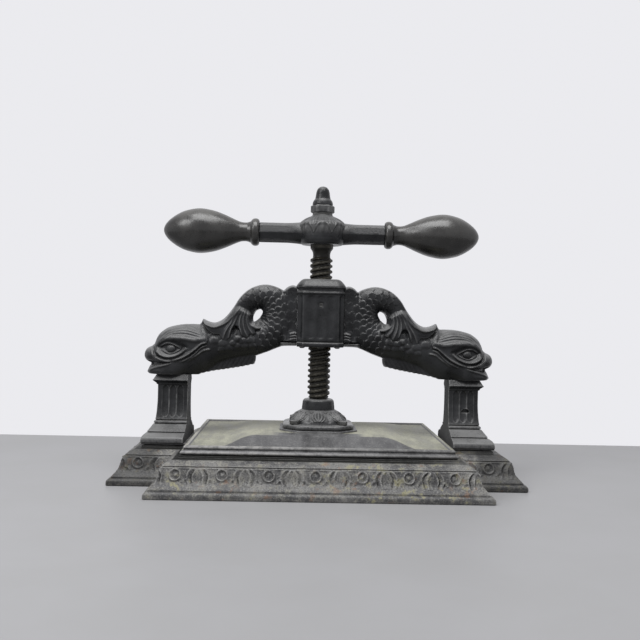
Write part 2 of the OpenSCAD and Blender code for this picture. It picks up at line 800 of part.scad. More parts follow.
// How far the round root of a bar stands out beyond its flats
bar_root = 1.3;
module handle() color(iron) difference() {
    union() {
        translate([0, 0, hub_z]) rotate_extrude() polygon(concat(
            [[0, 0], [0.44 * hub_d, 0]],
            curve([0.44 * hub_d, 0], [0.5 * hub_d, 0.2 * hub_h], -0.15),
            [[0.5 * hub_d, 0.62 * hub_h]],
            curve([0.5 * hub_d, 0.62 * hub_h], [washer_d / 2 + 1.5, hub_h], -0.12),
            [[0, hub_h]]
        ));
        translate([0, 0, hub_z + bar_z]) {
            bar_x(-hub_w / 2, hub_w / 2, bar_w + 2 * bar_root);
            for (side = [0, 180]) rotate([0, 90, side]) {
                rotate(22.5) cylinder(d = bar_w / cos(22.5), h = bar_reach, $fn = 8);
                translate([0, 0, bar_reach - 1]) cylinder(d = spigot_d, h = spigot_l + 1);
            }
        }
    }
    translate([0, 0, hub_z + hub_h / 2])
        cube([square_w + 2 * fit, square_w + 2 * fit, hub_h + 2 * over], center = true);
}

// Turned pear grip along +X, from its ring to its round end
// Its outline is given as [share of the greatest diameter, share of the length beyond the ring]
pear = [
    [0.242, 0.01], [0.212, 0.06], [0.219, 0.12], [0.264, 0.18], [0.372, 0.305], [0.455, 0.43],
    [0.5, 0.59], [0.455, 0.737], [0.365, 0.836], [0.25, 0.922], [0.155, 0.97], [0.08, 0.992], [0, 1]
];
module grip() {
    swell = grip_l - ring_w;
    ring_edge = ring_d / 2 - 0.2 * ring_w;
    translate([bar_reach, 0, hub_z + bar_z]) rotate([0, 90, 0]) difference() {
        rotate_extrude() polygon(concat(
            [[0, 0], [ring_edge, 0]],
            curve([ring_edge, 0], [ring_edge, ring_w], -0.2),
            [for (p = smooth_line(pear, 3)) [p[0] * grip_d, ring_w + p[1] * swell]]
        ));
        translate([0, 0, -over]) cylinder(d = spigot_d + 2 * fit, h = spigot_l + 2 * over);
    }
}
module right_grip() color(iron) grip();
module left_grip() color(iron) mirror([1, 0, 0]) grip();

module handle_washer() color(steel) translate([0, 0, hub_top]) difference() {
    cylinder(d = washer_d, h = washer_t);
    translate([0, 0, -over]) cylinder(d = top_stud_d + 2 * fit, h = washer_t + 2 * over);
}

module acorn_nut() color(iron) translate([0, 0, acorn_z]) difference() {
    union() {
        cylinder(d = acorn_flats / cos(30), h = acorn_hex_h, $fn = 6);
        translate([0, 0, acorn_hex_h]) rotate_extrude() polygon(concat(
            [[0, 0], [0.46 * acorn_flats, 0], [0.46 * acorn_flats, 0.2 * acorn_h]],
            [[0.36 * acorn_flats, 0.34 * acorn_h], [0.34 * acorn_flats, 0.4 * acorn_h]],
            curve([0.34 * acorn_flats, 0.4 * acorn_h], [0.29 * acorn_flats, 0.78 * acorn_h], -0.04),
            curve([0.29 * acorn_flats, 0.78 * acorn_h], [0, acorn_h], -0.22)
        ));
    }
    translate([0, 0, -over]) cylinder(d = top_stud_d + 2 * fit, h = top_stud_top - acorn_z + over + fit);
}

// Platen

module bell_bolt_places() {
    for (x = [-1, 1], y = [-1, 1]) translate([x * bolt_spacing / 2, y * bolt_spacing / 2, 0]) children();
}
bolt_bite = 9;
bolt_head_d = 2 * bolt_d;
bolt_head_room = 0.6;

module platen() color(worn_iron) difference() {
    edge_r = platen_edge_h / 2;
    edge_in = 0.35 * platen_edge_h;
    rim_in = edge_in + 1;
    edge = concat(
        [[edge_in, base_h]],
        curve([edge_in, base_h], [edge_in, panel_z], 0.35, 6),
        [[rim_in, panel_z], [rim_in, panel_z + platen_rim_h]]
    );
    hump_w = hump_top_w + 2 * hump_run;
    hump_d = hump_top_d + 2 * hump_run;
    union() {
        difference() {
            moulded_block(platen_w, platen_d, edge);
            panel_in = rim_in + platen_rim_w;
            translate([0, 0, panel_z + (platen_rim_h + over) / 2])
                cube([platen_w - 2 * panel_in, platen_d - 2 * panel_in, platen_rim_h + over], center = true);
        }
        // Hipped middle: straight slopes to the front and back, hollow and round slopes to the sides
        hump_mid = [hump_run, panel_z + pad_z] / 2;
        intersection() {
            along_y(hump_d + over, two_sided(hump_w, concat(
                [[0, base_h + edge_r], [0, panel_z]],
                curve([0, panel_z], hump_mid, -0.04), curve(hump_mid, [hump_run, pad_z], 0.04)
            )));
            along_x(hump_w + over, two_sided(hump_d, [
                [0, base_h + edge_r], [0, panel_z], [hump_run, pad_z]
            ]));
        }
        translate([0, 0, pad_z - pad_t]) linear_extrude(2 * pad_t)
            polygon(cut_square(pad_w, pad_w, flange_cut + (2 - sqrt(2)) * pad_ledge));
    }
    // Pocket for the toe and the split collar
    translate([0, 0, collar_z]) cylinder(d = collar_d + 2 * fit, h = collar_h + over);
    translate([0, 0, disc_z]) cylinder(d = journal_d + 1, h = pad_z);
    bell_bolt_places() translate([0, 0, flange_z - bolt_bite - fit])
        cylinder(d = bolt_d + 2 * fit, h = 2 * bolt_bite);
}

skirt_top = [skirt_d / 2, flange_t + 0.14 * bell_h];
module platen_bell() color(iron) translate([0, 0, flange_z]) difference() {
    union() {
        linear_extrude(flange_t) polygon(cut_square(flange_w, flange_w, flange_cut));
        rotate_extrude() polygon(concat(
            [[0, flange_t / 2], [skirt_d / 2, flange_t / 2], skirt_top],
            curve(skirt_top, [bell_d / 2 + 1.5, flange_t + 0.52 * bell_h], -0.1),
            [[bell_d / 2, flange_t + 0.54 * bell_h], [bell_d / 2, flange_t + bell_h - 2]],
            curve([bell_d / 2, flange_t + bell_h - 2], [bell_d / 2 - 2, flange_t + bell_h], -0.2, 3),
            [[0, flange_t + bell_h]]
        ));
    }
    translate([0, 0, -over]) cylinder(d = journal_d + 2 * run_fit, h = flange_t + bell_h + 2 * over);
    translate([0, 0, -over]) cylinder(d = collar_d + 2 * fit, h = collar_z + collar_h - flange_z + over);
    bell_bolt_places() translate([0, 0, -over]) cylinder(d = bolt_d + 2 * fit, h = bell_h);
    bell_bolt_places() translate([0, 0, flange_t])
        cylinder(d = bolt_head_d + 2 * bolt_head_room, h = bell_h);
}

module bell_bolts() color(iron) bell_bolt_places() translate([0, 0, flange_z - bolt_bite]) {
    cylinder(d = bolt_d, h = bolt_bite + flange_t);
    translate([0, 0, bolt_bite + flange_t]) cylinder(d = bolt_head_d, h = 0.7 * bolt_d, $fn = 6);
}

module thrust_disc() color(bronze) translate([0, 0, disc_z]) cylinder(d = journal_d - 2, h = disc_t);

// Two half rings that hold the screw's groove down in the bell
collar_saw = 0.6;
module split_collar() color(steel) translate([0, 0, collar_z]) difference() {
    cylinder(d = collar_d, h = collar_h);
    translate([0, 0, -over]) cylinder(d = groove_d + 2 * collar_play, h = collar_h + 2 * over);
    cube([2 * collar_d, collar_saw, 3 * collar_h], center = true);
}

// Tie rods

module tie_rods() color(steel) at_pillars() translate([0, 0, base_fillet_h])
    cylinder(d = tie_rod_d, h = pillar_top + chin_hole_h - fit - base_fillet_h);

module tie_nuts() color(steel) at_pillars() translate([0, 0, base_fillet_h + tie_tail]) difference() {
    cylinder(d = 1.9 * tie_rod_d, h = tie_nut_h, $fn = 6);
    translate([0, 0, -over]) cylinder(d = tie_rod_d + 2 * fit, h = tie_nut_h + 2 * over);
}

module tie_washers() color(steel) at_pillars() translate([0, 0, tie_seat_z - tie_washer_t]) difference() {
    cylinder(d = 2.2 * tie_rod_d, h = tie_washer_t);
    translate([0, 0, -over]) cylinder(d = tie_rod_d + 2 * fit, h = tie_washer_t + 2 * over);
}

bed();
left_pillar();
right_pillar();
left_dolphin();
right_dolphin();
crosshead();
crosshead_cap();
arm_studs();
screw_nut();
nut_flange_screws();
nut_set_screw();
tie_rods();
tie_nuts();
tie_washers();
press_screw();
handle();
left_grip();
right_grip();
acorn_nut();
handle_washer();
platen();
platen_bell();
bell_bolts();
thrust_disc();
split_collar();
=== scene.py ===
"""Looks of the cast-iron copying press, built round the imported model.

Shapes are drawn in millimetres in the part's frame. They become metres when a piece is made.
"""

import json
import math

import bpy
import numpy as np
from mathutils import Matrix, Vector


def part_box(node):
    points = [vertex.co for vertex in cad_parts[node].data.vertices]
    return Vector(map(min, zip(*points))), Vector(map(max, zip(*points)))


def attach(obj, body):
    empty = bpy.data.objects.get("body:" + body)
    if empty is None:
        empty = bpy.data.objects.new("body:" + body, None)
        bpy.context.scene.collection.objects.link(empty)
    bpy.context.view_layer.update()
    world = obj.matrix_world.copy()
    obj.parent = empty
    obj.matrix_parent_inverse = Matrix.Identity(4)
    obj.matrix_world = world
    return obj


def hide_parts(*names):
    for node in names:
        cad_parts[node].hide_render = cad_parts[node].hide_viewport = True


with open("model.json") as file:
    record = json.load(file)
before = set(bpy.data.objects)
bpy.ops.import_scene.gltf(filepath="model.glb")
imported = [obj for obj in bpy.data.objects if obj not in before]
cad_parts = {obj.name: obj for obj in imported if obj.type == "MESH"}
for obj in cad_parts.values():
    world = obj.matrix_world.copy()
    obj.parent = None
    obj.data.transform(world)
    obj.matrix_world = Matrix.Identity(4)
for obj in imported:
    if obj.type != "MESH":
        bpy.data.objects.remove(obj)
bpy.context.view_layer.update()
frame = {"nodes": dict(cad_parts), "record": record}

MM = 0.001


def corners(node):
    """Lowest and highest corner of a node in millimetres."""
    low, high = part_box(node)
    return np.array(low) / MM, np.array(high) / MM


# Places taken from the frame
BOX_LOW, BOX_HIGH = corners("crosshead")
PILLAR_LOW, PILLAR_HIGH = corners("right_pillar")
PLATEN_HIGH = corners("platen")[1]
SCREW_LOW = corners("press_screw")[0]


# Lines and curves

CORNER_SHARE = 0.45
RIDGE_FADE = 0.18


def smooth_line(points, steps=8):
    """A smooth line through given points, each a row of numbers."""
    p = np.asarray(points, float)
    p = np.vstack([p[0], p, p[-1]])
    t = np.linspace(0, 1, steps, endpoint=False)[:, None]
    rows = []
    for a, b, c, d in zip(p, p[1:], p[2:], p[3:]):
        square = 2 * a - 5 * b + 4 * c - d
        cube = 3 * b - a - 3 * c + d
        rows.append(0.5 * (2 * b + (c - a) * t + square * t**2 + cube * t**3))
    return np.vstack(rows + [p[-1:]])


def closed_line(first, *others):
    """A closed outline of smooth pieces that meet in corners, each from the end of the one before it."""
    rows = [first]
    for points in others:
        rows.append([rows[-1][-1], *points])
    return np.vstack([smooth_line(row)[:-1] for row in rows])


def soften(points, radius, steps=3):
    """Rounds the corners of an open line of [across, height] points."""
    p = np.asarray(points, float)
    out = [p[0]]
    for before, here, after in zip(p, p[1:], p[2:]):
        back = np.linalg.norm(before - here)
        ahead = np.linalg.norm(after - here)
        a = here + (before - here) * min(radius, CORNER_SHARE * back) / back
        b = here + (after - here) * min(radius, CORNER_SHARE * ahead) / ahead
        for t in np.linspace(0, 1, steps):
            out.append((1 - t) ** 2 * a + 2 * t * (1 - t) * here + t**2 * b)
    return np.array(out + [p[-1]])


def divide(points, step):
    """Adds points to a line so that none lie further apart than the step."""
    p = np.asarray(points, float)
    out = [p[:1]]
    for a, b in zip(p, p[1:]):
        count = max(1, math.ceil(np.linalg.norm(b - a) / step))
        out.append(a + (b - a) * (np.arange(1, count + 1) / count)[:, None])
    return np.vstack(out)


def fine_line(points, radius, step):
    """A line with rounded corners and with no points further apart than the step."""
    return divide(soften(points, radius), step)


def fade(x, low, high):
    """Goes smoothly from 0 at low to 1 at high, and stays flat beyond them."""
    t = np.clip((x - low) / (high - low), 0, 1)
    return t * t * (3 - 2 * t)


def line_distance(line, u, v):
    """Distance of grid points to a line, and their place along it as a float index."""
    near = np.full(u.shape, np.inf)
    place = np.zeros(u.shape)
    for i, (a, b) in enumerate(zip(line[:-1, :2], line[1:, :2])):
        d = b - a
        t = np.clip(((u - a[0]) * d[0] + (v - a[1]) * d[1]) / max(d @ d, 1e-9), 0, 1)
        gap = np.hypot(u - a[0] - t * d[0], v - a[1] - t * d[1])
        closer = gap < near
        near = np.where(closer, gap, near)
        place = np.where(closer, i + t, place)
    return near, place


def inside_distance(pieces, u, v):
    """Distance of grid points to a closed outline of smooth pieces, positive inside it."""
    outline = closed_line(*pieces)
    ring = np.vstack([outline, outline[:1]])
    inside = np.zeros(u.shape, bool)
    for a, b in zip(ring[:-1], ring[1:]):
        if a[1] == b[1]:
            continue
        crosses = (a[1] > v) != (b[1] > v)
        inside ^= crosses & (u < a[0] + (v - a[1]) * (b[0] - a[0]) / (b[1] - a[1]))
    return np.where(inside, 1, -1) * line_distance(ring, u, v)[0]


def bowl(x):
    """1 in the middle, falling in a round line to 0 at a distance of 1 and beyond."""
    return np.clip(1 - x**2, 0, 1)


def dome(u, v, centre_u, centre_v, radius):
    """A half ball over the plane, 1 high in its middle and 0 beyond its radius."""
    return np.sqrt(np.clip(1 - ((u - centre_u) ** 2 + (v - centre_v) ** 2) / radius**2, 0, 1))


def crest(x, width):
    """A soft ridge across x, 1 high in its middle."""
    return np.exp(-((x / width) ** 2))


def round_end(gap, reach):
    """Goes in a round line from 0 at an end to 1 at its reach, by the distance from the end."""
    return np.clip(gap / reach, 0, 1) ** 0.5


def off_centre(x):
    """Distance from the nearest whole number, negative below it."""
    return np.mod(x + 0.5, 1) - 0.5


def rounded(d, width, height):
    """Height of a form whose edge is rounded over a width, from its inside distance."""
    return height * np.sqrt(bowl(1 - np.clip(d / width, 0, 1)))


def smooth_max(a, b, k):
    """The larger of two heights, with their seam blended over k."""
    h = np.clip(0.5 + 0.5 * (a - b) / k, 0, 1)
    return b + (a - b) * h + k * h * (1 - h)


def along_line(points, u, v):
    """Distance of grid points to a smooth line, and their place along it as a share."""
    line = smooth_line(points)
    d, place = line_distance(line, u, v)
    return d, place / (len(line) - 1)


def with_ridges(form, rows, u, v):
    """A form with ridges as (width, height, line) that fade at both ends. A negative height cuts a groove."""
    for width, height, line in rows:
        d, share = along_line(line, u, v)
        taper = round_end(np.minimum(share, 1 - share), RIDGE_FADE)
        form = form + height * taper * crest(d, width)
    return form


# Meshes


def around(sides):
    """Angles of points spread evenly round Z."""
    return np.arange(sides) * 2 * math.pi / sides


def petal_share(sides, count):
    """Place across petals that stand round Z: 0 in the middle of each and 1 between two."""
    return np.abs(off_centre(around(sides) * count / (2 * math.pi))) * 2


def polygon_radius(angle, sides, flats, corners):
    """Radius of a bar with even sides and rounded corners, at each angle."""
    half = math.pi / sides
    return np.minimum(flats / np.cos(np.mod(angle, 2 * half) - half), corners)


def level(points, z):
    """Flat [x, y] points at one height."""
    return np.column_stack([points, np.full(len(points), z)])


def polar(radius, angle, z):
    """A loop at one height, by its radius at each angle."""
    return level(np.column_stack([radius * np.cos(angle), radius * np.sin(angle)]), z)


def loft(loops, shut=True):
    """Quads between closed loops of equal length. Shut ends are flat; otherwise the last meets the first."""
    loops = np.asarray(loops, float)
    rows, n = loops.shape[:2]
    faces = []
    for r in range(rows - 1 if shut else rows):
        low = r * n
        high = (r + 1) % rows * n
        for k in range(n):
            j = (k + 1) % n
            faces.append((low + k, low + j, high + j, high + k))
    if shut:
        faces.append(tuple(range(n - 1, -1, -1)))
        faces.append(tuple(range((rows - 1) * n, rows * n)))
    return loops.reshape(-1, 3), faces


def revolve(profile, sides, relief=None):
    """Turns [radius, height] points round Z. A relief adds to the radius, by angle and point."""
    profile = np.asarray(profile, float)
    angle = around(sides)
    radius = np.repeat(profile[:, :1], sides, axis=1)
    if relief is not None:
        radius = radius + relief
    height = np.repeat(profile[:, 1:], sides, axis=1)
    return loft(np.stack([radius * np.cos(angle), radius * np.sin(angle), height], -1))


def turned(shell, matrix, offset=(0, 0, 0)):
    """A shell turned by a matrix and moved. A mirroring matrix flips its faces."""
    points, faces = shell
    matrix = np.asarray(matrix, float)
    if np.linalg.det(matrix) < 0:
        faces = [tuple(reversed(face)) for face in faces]
    return points @ matrix.T + np.asarray(offset, float), faces


MIRROR_X = np.diag([-1, 1, 1])
ALONG_X = np.array([[0, 0, 1], [0, 1, 0], [-1, 0, 0]])


def mirrored(shell):
    return turned(shell, MIRROR_X)


def moved(shell, offset):
    return turned(shell, np.eye(3), offset)


def add_object(name, data):
    obj = bpy.data.objects.new(name, data)
    bpy.context.scene.collection.objects.link(obj)
    return obj


# Angles in degrees from which an edge is shaded sharp
SHARP = 38
SHARP_HUB = 32
SHARP_MOULDED = 50
SHARP_CARVED = 60


def piece(name, body, slot, shells, nodes, sharp=SHARP, look=None):
    """One mesh piece made of shells, in the body's and the slot's names, in place of CAD nodes."""
    points = []
    faces = []
    start = 0
    for shell_points, shell_faces in shells:
        points.append(shell_points)
        faces += [tuple(i + start for i in face) for face in shell_faces]
        start += len(shell_points)
    mesh = bpy.data.meshes.new(name)
    mesh.from_pydata((np.vstack(points) * MM).tolist(), [], faces)
    mesh.polygons.foreach_set("use_smooth", [True] * len(faces))
    mesh.set_sharp_from_angle(angle=math.radians(sharp))
    mesh.materials.append(MATERIALS[look or slot])
    obj = add_object(name, mesh)
    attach(obj, body)
    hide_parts(*nodes)


def pair(node, finish, body, slot, right, left, sharp=SHARP, look=None):
    """A piece on the right and one on the left, each in place of one node."""
    for side, shell in (("right", right), ("left", left)):
        piece(f"{side}_{node}_{finish}", body, slot, [shell], [f"{side}_{node}"], sharp, look)


CELL_CORNERS = np.array([(i, j, k) for i in (0, 1) for j in (0, 1) for k in (0, 1)])
CELL_COUNT = len(CELL_CORNERS)
CELL_EDGES = [
    (a, b)
    for a in range(CELL_COUNT)
    for b in range(a + 1, CELL_COUNT)
    if np.abs(CELL_CORNERS[a] - CELL_CORNERS[b]).sum() == 1
]


def surface_net(field, origin, step):
    """Quads round the zero level of a field that is positive inside."""
    shape = np.array(field.shape)
    filled = field > 0
    count = np.zeros(shape - 1, int)
    for i, j, k in CELL_CORNERS:
        count += filled[i : shape[0] - 1 + i, j : shape[1] - 1 + j, k : shape[2] - 1 + k]
    cells = np.argwhere((count > 0) & (count < CELL_COUNT))
    number = np.full(shape - 1, -1)
    number[tuple(cells.T)] = np.arange(len(cells))
    values = [field[tuple((cells + corner).T)] for corner in CELL_CORNERS]
    total = np.zeros((len(cells), 3))
    crossings = np.zeros(len(cells))
    for a, b in CELL_EDGES:
        crossed = (values[a] > 0) != (values[b] > 0)
        t = values[a][crossed] / (values[a][crossed] - values[b][crossed])
        total[crossed] += CELL_CORNERS[a] + t[:, None] * (CELL_CORNERS[b] - CELL_CORNERS[a])
        crossings[crossed] += 1
    points = origin + step * (cells + total / crossings[:, None])
    quads = []
    for axis in range(3):
        other = np.eye(3, dtype=int)[[(axis + 1) % 3, (axis + 2) % 3]]
        ahead = np.eye(3, dtype=int)[axis]
        low = filled[tuple(slice(None, -1) if i == axis else slice(None) for i in range(3))]
        high = filled[tuple(slice(1, None) if i == axis else slice(None) for i in range(3))]
        for flip, changed in ((False, low & ~high), (True, ~low & high)):
            at = np.argwhere(changed)
            at = at[((at >= 1) | (ahead == 1)).all(axis=1)]
            ring = [at - other[0] - other[1], at - other[1], at, at - other[0]]
            quad = np.stack([number[tuple(r.T)] for r in ring], -1)
            quads.append(quad[:, ::-1] if flip else quad)
    return points, np.vstack(quads).tolist()


# Materials

# Sockets of a node that mixes colours
MIX_A = 6
MIX_B = 7
MIX_RESULT = 2


class Tree:
    """Adds and links the nodes of a material or a world."""

    def __init__(self, owner):
        owner.use_nodes = True
        self.nodes = owner.node_tree.nodes
        self.links = owner.node_tree.links

    def fill(self, node, inputs):
        """Links or sets inputs of a node, by their names or numbers."""
        for key, value in inputs.items():
            if isinstance(value, bpy.types.NodeSocket):
                self.links.new(value, node.inputs[key])
            else:
                node.inputs[key].default_value = value

    def add(self, kind, inputs=None, **settings):
        node = self.nodes.new(kind)
        for key, value in settings.items():
            setattr(node, key, value)
        self.fill(node, inputs or {})
        return node

    def math(self, operation, a, b):
        return self.add("ShaderNodeMath", {0: a, 1: b}, operation=operation).outputs[0]

    def mix(self, share, a, b):
        inputs = {"Factor": share, MIX_A: a, MIX_B: b}
        return self.add("ShaderNodeMix", inputs, data_type="RGBA").outputs[MIX_RESULT]


class Nodes(Tree):
    """The nodes of one material, whose base colour is laid on in coats."""

    def __init__(self, name):
        self.material = bpy.data.materials.new(name)
        super().__init__(self.material)
        self.shader = self.nodes["Principled BSDF"]
        self.base = None
        self.place = self.add("ShaderNodeTexCoord").outputs["Object"]
        geometry = self.add("ShaderNodeNewGeometry")
        self.pointed = geometry.outputs["Pointiness"]
        self.x, self.y, self.z = self.parts_of(self.place)
        self.facing_x, self.facing_y, self.facing_z = self.parts_of(geometry.outputs["Normal"])

    def parts_of(self, vector):
        return self.add("ShaderNodeSeparateXYZ", {0: vector}).outputs

    def noise(self, scale, detail=4.0, rough=0.55, stretch=(1, 1, 1)):
        """Noise in the part's own space. The scale is in ripples per metre."""
        mapping = self.add("ShaderNodeMapping", {"Vector": self.place, "Scale": stretch})
        inputs = {"Vector": mapping.outputs["Vector"], "Scale": scale, "Detail": detail, "Roughness": rough}
        return self.add("ShaderNodeTexNoise", inputs).outputs["Fac"]

    def ramp(self, value, low, high, bottom=0.0, top=1.0):
        """Goes smoothly from bottom, where the value is low, to top, where it is high."""
        inputs = {"Value": value, "From Min": low, "From Max": high, "To Min": bottom, "To Max": top}
        return self.add("ShaderNodeMapRange", inputs, interpolation_type="SMOOTHSTEP").outputs["Result"]

    def band(self, value, low, full, falling, high):
        """1 from full to falling, going down to 0 at low and high."""
        return self.times(self.ramp(value, low, full), self.ramp(value, high, falling))

    def times(self, a, b):
        return self.math("MULTIPLY", a, b)

    def plus(self, a, b):
        return self.math("ADD", a, b)

    def size_of(self, value):
        return self.math("ABSOLUTE", value, 0.0)

    def lay(self, share, tint):
        """Covers the base colour with a share of a tint."""
        self.base = self.mix(share, self.base, tint)

    def bump(self, height, strength, distance):
        inputs = {"Height": height, "Strength": strength, "Distance": distance}
        self.fill(self.shader, {"Normal": self.add("ShaderNodeBump", inputs).outputs["Normal"]})

    def surface(self, roughness, gloss, metallic=0.0):
        """Sets what the shader shows and gives the finished material."""
        self.fill(self.shader, {"Base Color": self.base, "Roughness": roughness})
        self.fill(self.shader, {"Specular IOR Level": gloss, "Metallic": metallic})
        return self.material


def colour(r, g, b):
    return (r, g, b, 1.0)


def grey(value):
    return colour(value, value, value)


# Heights in metres: ramps as (none, full) and bands as (none, full, falling, none)
DUST_Z = (0.085, 0.050)
BED_SHADE_STRIP = (0.0370, 0.0377, 0.0412, 0.0418)
PLATEN_ROLL = (0.0422, 0.0434, 0.0456, 0.0464)
PAD_SIDE = (0.0572, 0.0578)
HUB_RUBBED = (0.289, 0.297, 0.305, 0.307)
# Rust and old gilt on the bed as (ripples, detail, ripples of the wide pattern, share, colour)
BED_PATCHES = [
    (95, 5, 21, 0.45, colour(0.22, 0.12, 0.065)),
    (120, 3, 18, 0.4, colour(0.30, 0.28, 0.12)),
]


def iron(
    name, dark, pale, worn, rough, grain=0.35, metallic=0.0, dust_and_top_light=0.85, gloss=0.27, edged=1.0, rubbed=None
):
    """Cast iron with mottled colour, sand-cast grain, grey worn edges, dust and painted light from above on
    top, and painted shade in hollows.

    In the band of heights that rubbed gives, the iron near the screw's axis is worn paler.
    """
    n = Nodes(name)
    mottle = n.noise(38, 6)
    fine = n.noise(420, 3)
    n.base = n.mix(n.ramp(mottle, 0.35, 0.68), dark, pale)
    # Dust and painted light from above lie on what faces up, and dust lies on what is near the table
    dust = n.times(n.ramp(n.facing_z, 0.35, 0.92), n.ramp(mottle, 0.3, 0.66, 0.5, 1.0))
    n.lay(n.times(dust, dust_and_top_light), worn)
    n.lay(n.times(n.ramp(n.z, *DUST_Z), n.ramp(fine, 0.3, 0.6, 0.14, 0.38)), worn)
    if rubbed:
        near = n.ramp(n.size_of(n.x), 0.034, 0.026, 0.0, 0.45)
        n.lay(n.times(near, n.band(n.z, *rubbed)), worn)
    # Edges are worn in patches, and hollows are painted nearly black as shade
    edge = n.times(n.ramp(n.pointed, 0.506, 0.55), n.ramp(n.noise(150, 4), 0.35, 0.62, 0.3 * edged, edged))
    n.lay(edge, worn)
    n.lay(n.ramp(n.pointed, 0.488, 0.42, 0.0, 0.85), grey(0.004))
    # Sides are duller and worn edges a little smoother
    shine = n.ramp(n.plus(mottle, n.times(fine, 0.6)), 0.55, 1.05, rough - 0.09, rough + 0.13)
    flank = n.ramp(n.size_of(n.facing_x), 0.85, 0.99, 0.0, 0.4)
    dull = n.math("SUBTRACT", flank, n.times(edge, 0.06))
    n.bump(n.plus(fine, n.times(n.noise(1500, 2), 0.5)), grain, 0.0006)
    return n.surface(n.plus(shine, dull), gloss, metallic)


def bed_iron():
    """Dull grey base with dust, rust and traces of old gilt, and painted shade in hollows, under the platen
    and on the feet.
    """
    n = Nodes("bed_iron")
    mottle = n.noise(30, 6)
    fine = n.noise(380, 4)
    speck = n.noise(650, 3)
    n.base = n.mix(n.ramp(mottle, 0.38, 0.64), colour(0.058, 0.058, 0.06), colour(0.160, 0.158, 0.153))
    dust = n.times(n.ramp(n.noise(120, 5, 0.65), 0.44, 0.66), n.ramp(fine, 0.32, 0.62, 0.25, 0.85))
    n.lay(dust, colour(0.235, 0.228, 0.20))
    n.lay(n.ramp(speck, 0.54, 0.66, 0.0, 0.7), colour(0.035, 0.034, 0.033))
    n.lay(n.ramp(speck, 0.44, 0.34, 0.0, 0.4), colour(0.31, 0.305, 0.29))
    for ripples, detail, wide, share, tint in BED_PATCHES:
        patch = n.times(n.ramp(n.noise(ripples, detail), 0.58, 0.68), n.ramp(n.noise(wide, 2), 0.46, 0.58))
        n.lay(n.times(patch, share), tint)
    worn = n.times(n.ramp(n.pointed, 0.508, 0.565), n.ramp(n.noise(170, 4), 0.34, 0.6, 0.2, 0.9))
    n.lay(worn, colour(0.30, 0.295, 0.285))
    # Hollows are painted nearly black as shade
    n.lay(n.ramp(n.pointed, 0.49, 0.43, 0.0, 0.92), colour(0.014, 0.0135, 0.013))
    # The strip under the platen's edge is painted dark as the platen's shade and as dirt, less so to the
    # right, and the feet are painted darker than the bed as shade
    strip = n.times(n.band(n.z, *BED_SHADE_STRIP), n.ramp(n.x, 0.155, 0.095, 0.55, 1.0))
    n.lay(strip, colour(0.005, 0.005, 0.004))
    # The feet are painted darker as the shade of the pillars and dolphins above them
    n.lay(n.ramp(n.size_of(n.x), 0.176, 0.188, 0.0, 0.6), grey(0.012))
    n.bump(n.plus(fine, n.times(n.noise(1300, 2), 0.5)), 0.5, 0.0007)
    return n.surface(n.ramp(n.plus(mottle, dust), 0.4, 1.2, 0.42, 0.72), 0.3)


def platen_iron():
    """Grey front slope and edge with pale olive panels, streaked along the depth, with painted reflections,
    highlights and shade.
    """
    n = Nodes("platen_iron")
    streak = n.noise(60, 6, 0.6, (1.0, 0.35, 1.0))
    speck = n.noise(520, 3)
    # The olive panels face up, beside and behind the bell's pad: their pale tone is olive patina with a
    # painted reflection of the sky, and faces that slope to the front or back stay dark grey as a painted
    # reflection of the room
    pad = n.ramp(n.z, *PAD_SIDE)
    beside = n.ramp(n.size_of(n.x), 0.042, 0.056)
    behind = n.ramp(n.y, -0.047, -0.040)
    # In front of the pad the plate is left dark as a painted shadow of the flange
    off_pad = n.times(n.math("SUBTRACT", 1.0, pad), n.math("MAXIMUM", beside, behind))
    flat = n.times(n.ramp(n.size_of(n.facing_y), 0.13, 0.05), n.ramp(n.facing_z, 0.75, 0.92))
    panel = n.times(flat, off_pad)
    dark = n.mix(n.ramp(streak, 0.35, 0.68), colour(0.052, 0.052, 0.054), colour(0.125, 0.125, 0.127))
    # The roll round the edge is painted pale in streaks, as a highlight on its belly and as rubbing, most
    # towards the left
    roll = n.times(n.band(n.z, *PLATEN_ROLL), n.ramp(n.x, 0.12, -0.10, 0.0, 0.8))
    rubbed = n.ramp(n.noise(200, 4, 0.6, (1, 1, 0.2)), 0.38, 0.68, 0.6, 1.0)
    dark = n.mix(n.times(roll, rubbed), dark, colour(0.165, 0.165, 0.175))
    olive = n.mix(n.ramp(streak, 0.36, 0.64), colour(0.165, 0.163, 0.122), colour(0.325, 0.322, 0.25))
    olive = n.mix(n.ramp(n.noise(26, 5), 0.56, 0.72, 0.0, 0.5), olive, colour(0.15, 0.15, 0.135))
    n.base = n.mix(panel, dark, olive)
    n.lay(n.ramp(speck, 0.53, 0.66, 0.0, 0.5), colour(0.03, 0.03, 0.031))
    n.lay(n.ramp(speck, 0.45, 0.34, 0.0, 0.25), colour(0.34, 0.335, 0.315))
    # Edges are worn, least on the pad, and painted lighter on the left as a highlight where the light falls
    worn = n.times(n.ramp(n.pointed, 0.505, 0.55), n.ramp(n.noise(170, 4), 0.34, 0.6, 0.3, 1.0))
    worn = n.times(worn, n.ramp(pad, 0.0, 1.0, 1.0, 0.15))
    worn = n.times(worn, n.ramp(n.x, 0.13, -0.10, 0.25, 1.0))
    n.lay(worn, colour(0.35, 0.345, 0.335))
    # Hollows are painted darker as shade
    n.lay(n.ramp(n.pointed, 0.485, 0.41, 0.0, 0.4), colour(0.03, 0.03, 0.031))
    n.bump(n.plus(n.noise(420, 4), n.times(streak, 0.6)), 0.4, 0.0006)
    return n.surface(n.ramp(streak, 0.3, 0.7, 0.36, 0.58), 0.3)


